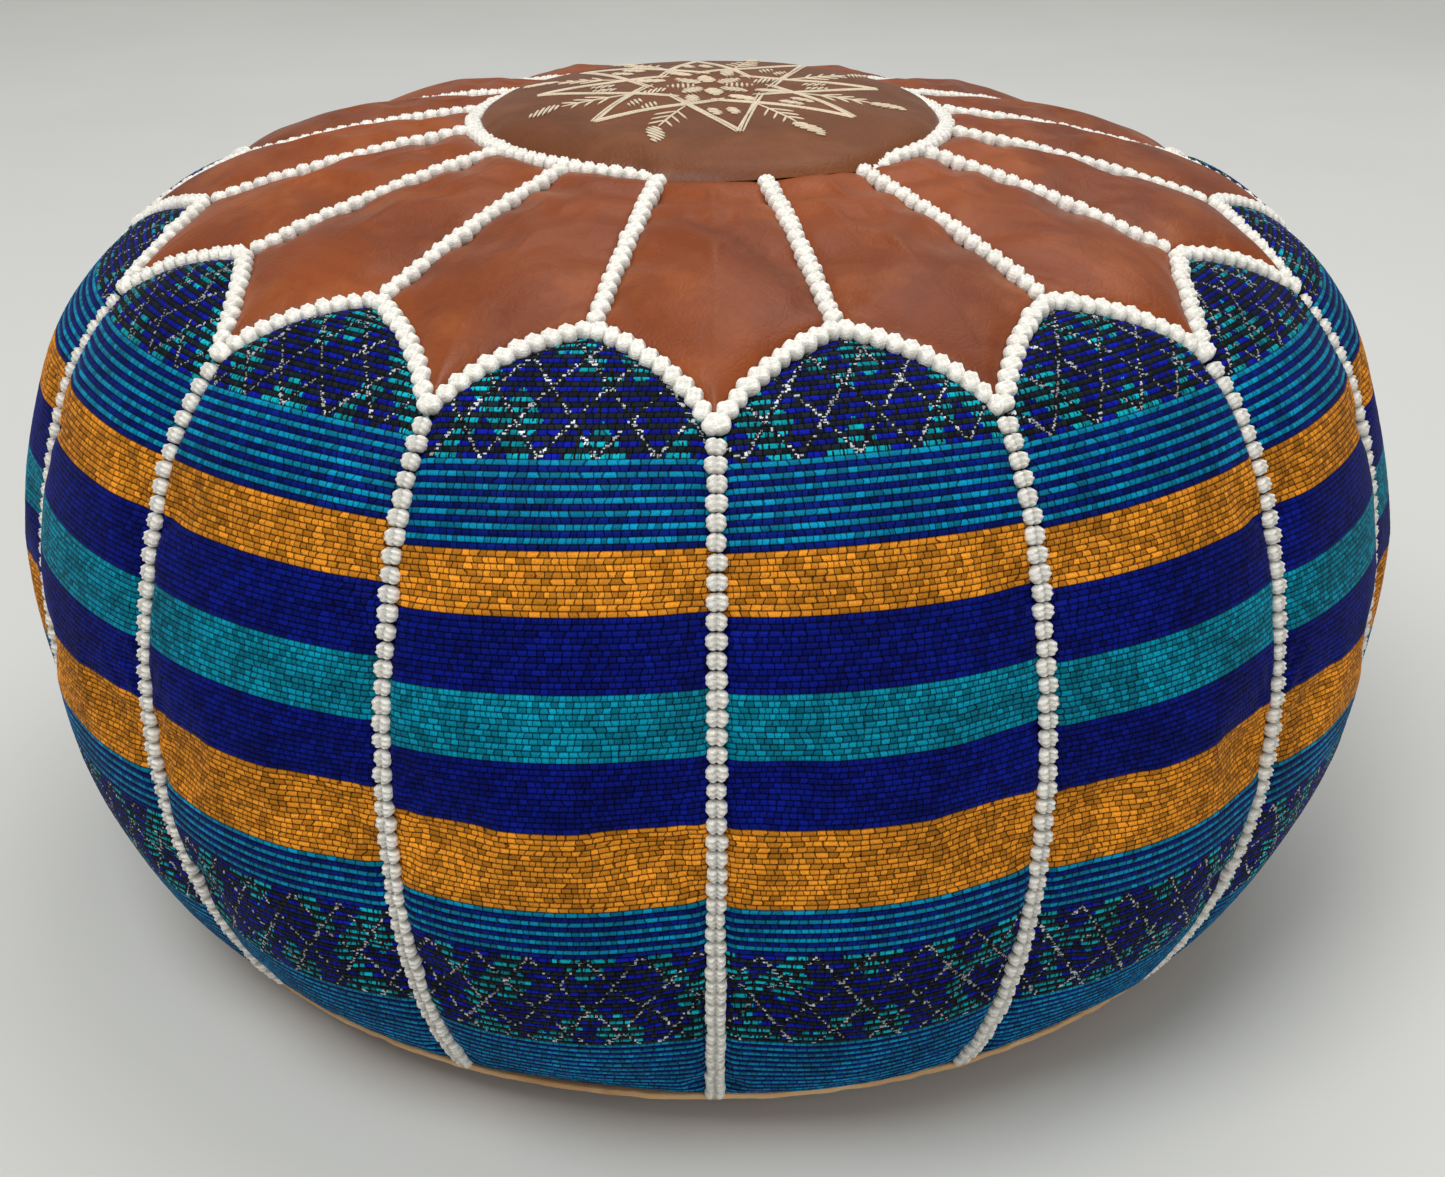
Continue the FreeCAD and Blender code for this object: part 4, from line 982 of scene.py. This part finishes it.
def make_base_half(name, way):
    """A half moon of leather under the cover, turned in round the zip's slot; way is -1 for the front half."""
    ends = np.linspace(SLOT_X + 0.0002, BASE_RIM_R - 0.0004, BASE_COLS // 4)
    x = np.concatenate([-ends[::-1], np.linspace(-SLOT_X, SLOT_X, BASE_COLS), ends])[:, None]
    inner = np.where(np.abs(x) <= SLOT_X, SLOT_Y, 0.0)
    fold = np.where(np.abs(x) <= SLOT_X, HEM_FOLD_Z, 0.0022)
    far = np.sqrt(BASE_RIM_R**2 - x**2)
    fold_rows = np.linspace(0, 1, 7)[None, :-1]
    flat_rows = np.linspace(0, 1, BASE_ROWS)[None, :]
    y_fold = inner + HEM_CORNER * (1 - np.cos(fold_rows**3 * np.pi / 2))
    z_fold = fold * (1 - fold_rows) ** 1.4
    start = np.minimum(inner + HEM_CORNER, far)
    y_flat = start + (far - start) * flat_rows**1.15
    y = np.concatenate([y_fold, y_flat], 1)
    y = np.minimum(y, far)
    r = np.hypot(x, y)
    climb = np.clip((r - BASE_FLAT_R) / (BASE_RIM_R - BASE_FLAT_R), 0, 1) ** 2 * BASE_RIM_Z
    soft = np.clip((y - inner - HEM_CORNER) / 0.012, 0, 1) * np.clip((BASE_RIM_R - r) / 0.02, 0, 1)
    creases = BASE_CREASE * np.clip(noise(x / 0.045 + 5, y / 0.03 + way, SEED + 51), 0, 1) ** 1.5
    pull = BASE_PULL * np.clip(noise(x / 0.008, y / 0.05, SEED + 52), 0, 1) * np.exp(-(y - inner) / 0.02)
    groove = STITCH_GROOVE * np.exp(-((y - STITCH_LINE) / 0.0014) ** 2) * (np.abs(x) < SLOT_X + 0.003)
    z = climb + soft * (creases + pull) + groove
    z[:, :6] += z_fold
    points = np.stack([np.broadcast_to(x, y.shape), way * y, z], -1)
    faces = grid_faces(*y.shape)
    if way < 0:
        faces = faces[:, ::-1]
    half = make_mesh(f"base_leather_{name}", points.reshape(-1, 3), faces)
    return settle(half, BASE_LEATHER, [f"base_panel_{name}"])


def make_base_stitches():
    """Short stitches that hold the turned-in leather to the zip's tapes."""
    shape, faces, _ = KNOTS["slanted"]
    count = int(2 * SLOT_X / STITCH_PITCH)
    points = []
    for way in (-1, 1):
        for i in range(count):
            x = -SLOT_X + (i + 0.5) * 2 * SLOT_X / count
            lean = 0.10 * (hashed(i, way, SEED) - 0.5)
            local = shape * np.array(STITCH_SIZE)
            along = local[:, 0] * math.cos(lean) - local[:, 1] * math.sin(lean)
            aside = local[:, 0] * math.sin(lean) + local[:, 1] * math.cos(lean)
            points.append(np.stack([x + along, way * STITCH_LINE + aside, STITCH_HEIGHT + local[:, 2]], 1))
    shifts = np.arange(len(points))[:, None, None] * len(shape)
    faces = (faces[None] + shifts).reshape(-1, 3)
    return settle(make_mesh("base_stitches", np.concatenate(points), faces), BASE_THREAD)


WELT_R = 0.22946
WELT_COLS = 900


def make_welt():
    """The raw leather edge between the cover and its base, cut by hand and so a little uneven."""
    turn = np.linspace(0, 2 * math.pi, WELT_COLS, endpoint=False)[:, None]
    angle = np.linspace(0, 2 * math.pi, 14, endpoint=False)[None, :]
    wide = np.sign(np.cos(angle)) * np.abs(np.cos(angle)) ** 0.45
    high = np.sign(np.sin(angle)) * np.abs(np.sin(angle)) ** 0.45
    round_x, round_y = np.sin(turn) * 40 + 50, np.cos(turn) * 40 + 50
    cut = 0.0005 * noise(round_x, round_y, SEED + 60) * (wide > 0)
    r = WELT_R - 0.0006 + 0.0018 * wide + cut
    z = 0.0188 + 0.00115 * high - 0.0003 * np.abs(noise(round_x * 0.6, round_y * 0.6, SEED + 61)) * (high < 0)
    points = np.stack([r * np.sin(turn), -r * np.cos(turn), z + 0 * r], -1).reshape(-1, 3)
    faces = grid_faces(WELT_COLS, 14, wrap=True)
    close = np.arange(14)
    last = (WELT_COLS - 1) * 14
    faces = np.concatenate([faces, np.stack([last + close, last + np.roll(close, -1), np.roll(close, -1), close], 1)])
    return settle(make_mesh("welt_edge", points, faces), RAW_EDGE, ["base_welt"])


def dress_frame():
    """Materials for the CAD nodes that keep their own shape."""
    looks = {"zip_tape": TAPE, "zip_teeth": BRASS,
             "zip_stops": BRASS, "zip_slider": BRASS, "zip_pull": BRASS}
    for name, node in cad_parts.items():
        for start, material in looks.items():
            if name.startswith(start):
                for place in node.material_slots:
                    place.material = material


# ---------------------------------------------------------------- stage, lights and camera
FLOOR_REACH = 3.0
FLOOR_DROP = 0.0004
WORLD_STRENGTH = 0.62


def make_stage():
    count = 60
    line = np.linspace(-FLOOR_REACH, FLOOR_REACH, count)
    x, y = np.meshgrid(line, line)
    points = np.stack([x, y, np.full_like(x, -FLOOR_DROP)], -1).reshape(-1, 3)
    floor = make_mesh("floor", points, grid_faces(count, count))
    m = Material("floor_cloth", 0.75)
    away = m.node("ShaderNodeSeparateXYZ", {0: m.object_coords()}).outputs["Y"]
    # painted light falloff: the floor is painted darker at the front, towards the camera, and lighter further back
    shade = m.mix(m.remap(away, -0.3, 1.6), linear(197, 198, 194), linear(226, 228, 226))
    shade = m.mix(m.remap(m.noise(2.5, 3.0), 0.3, 0.7, 0.0, 0.35), shade, linear(208, 209, 206))
    floor.data.materials.append(m.finish(shade))
    world = bpy.data.worlds.new("studio")
    bpy.context.scene.world = world
    world.use_nodes = True
    world.node_tree.nodes["Background"].inputs["Color"].default_value = (*linear(216, 214, 210), 1.0)
    world.node_tree.nodes["Background"].inputs["Strength"].default_value = WORLD_STRENGTH


# each light's place, what it faces, its size across in metres and its power in watts
LIGHTS = {
    "key": ((-0.7, -1.1, 2.2), (0, 0, 0.15), 1.3, 36.0),
    "top": ((0.5, 0.6, 2.4), (0, 0, 0.2), 2.0, 22.0),
    "front": ((0.9, -2.0, 1.0), (0, 0, 0.15), 1.4, 12.0),
}


def area_light(name, place, target, size, power):
    data = bpy.data.lights.new(name, "AREA")
    data.shape = "DISK"
    data.size = size
    data.energy = power
    lamp = bpy.data.objects.new(name, data)
    lamp.location = place
    lamp.rotation_euler = (Vector(target) - Vector(place)).to_track_quat("-Z", "Y").to_euler()
    bpy.context.scene.collection.objects.link(lamp)


CAMERA_PLACE = Vector((-0.0064, -0.790, 0.4807))
CAMERA_PITCH = math.radians(25.31)
CAMERA_YAW = math.radians(0.87)
CAMERA_ROLL = math.radians(0.22)
CAMERA_LENS_MM = 50.0
SENSOR_WIDTH_MM = 36.0


def make_camera():
    data = bpy.data.cameras.new("camera")
    data.lens = CAMERA_LENS_MM
    data.sensor_width = SENSOR_WIDTH_MM
    data.clip_start = 0.01
    ahead = Vector((math.sin(CAMERA_YAW) * math.cos(CAMERA_PITCH), math.cos(CAMERA_YAW) * math.cos(CAMERA_PITCH),
                    -math.sin(CAMERA_PITCH)))
    right = ahead.cross(Vector((0, 0, 1))).normalized()
    up = right.cross(ahead)
    turned = right * math.cos(CAMERA_ROLL) + up * math.sin(CAMERA_ROLL)
    up = turned.cross(ahead)
    camera = bpy.data.objects.new("camera", data)
    rows = Matrix((turned, up, -ahead)).transposed()
    camera.matrix_world = Matrix.Translation(CAMERA_PLACE) @ rows.to_4x4()
    bpy.context.scene.collection.objects.link(camera)
    bpy.context.scene.camera = camera


for panel_number in range(1, PANELS + 1):
    make_side_panel(panel_number)
    make_petal(panel_number)
make_medallion()
make_cords()
make_embroidery()
make_inside()
for half_name, half_way in (("front", -1), ("back", 1)):
    make_base_half(half_name, half_way)
make_base_stitches()
make_welt()
dress_frame()
make_stage()
for light_name, light_settings in LIGHTS.items():
    area_light(light_name, *light_settings)
make_camera()
bpy.context.scene.view_settings.view_transform = "Standard"
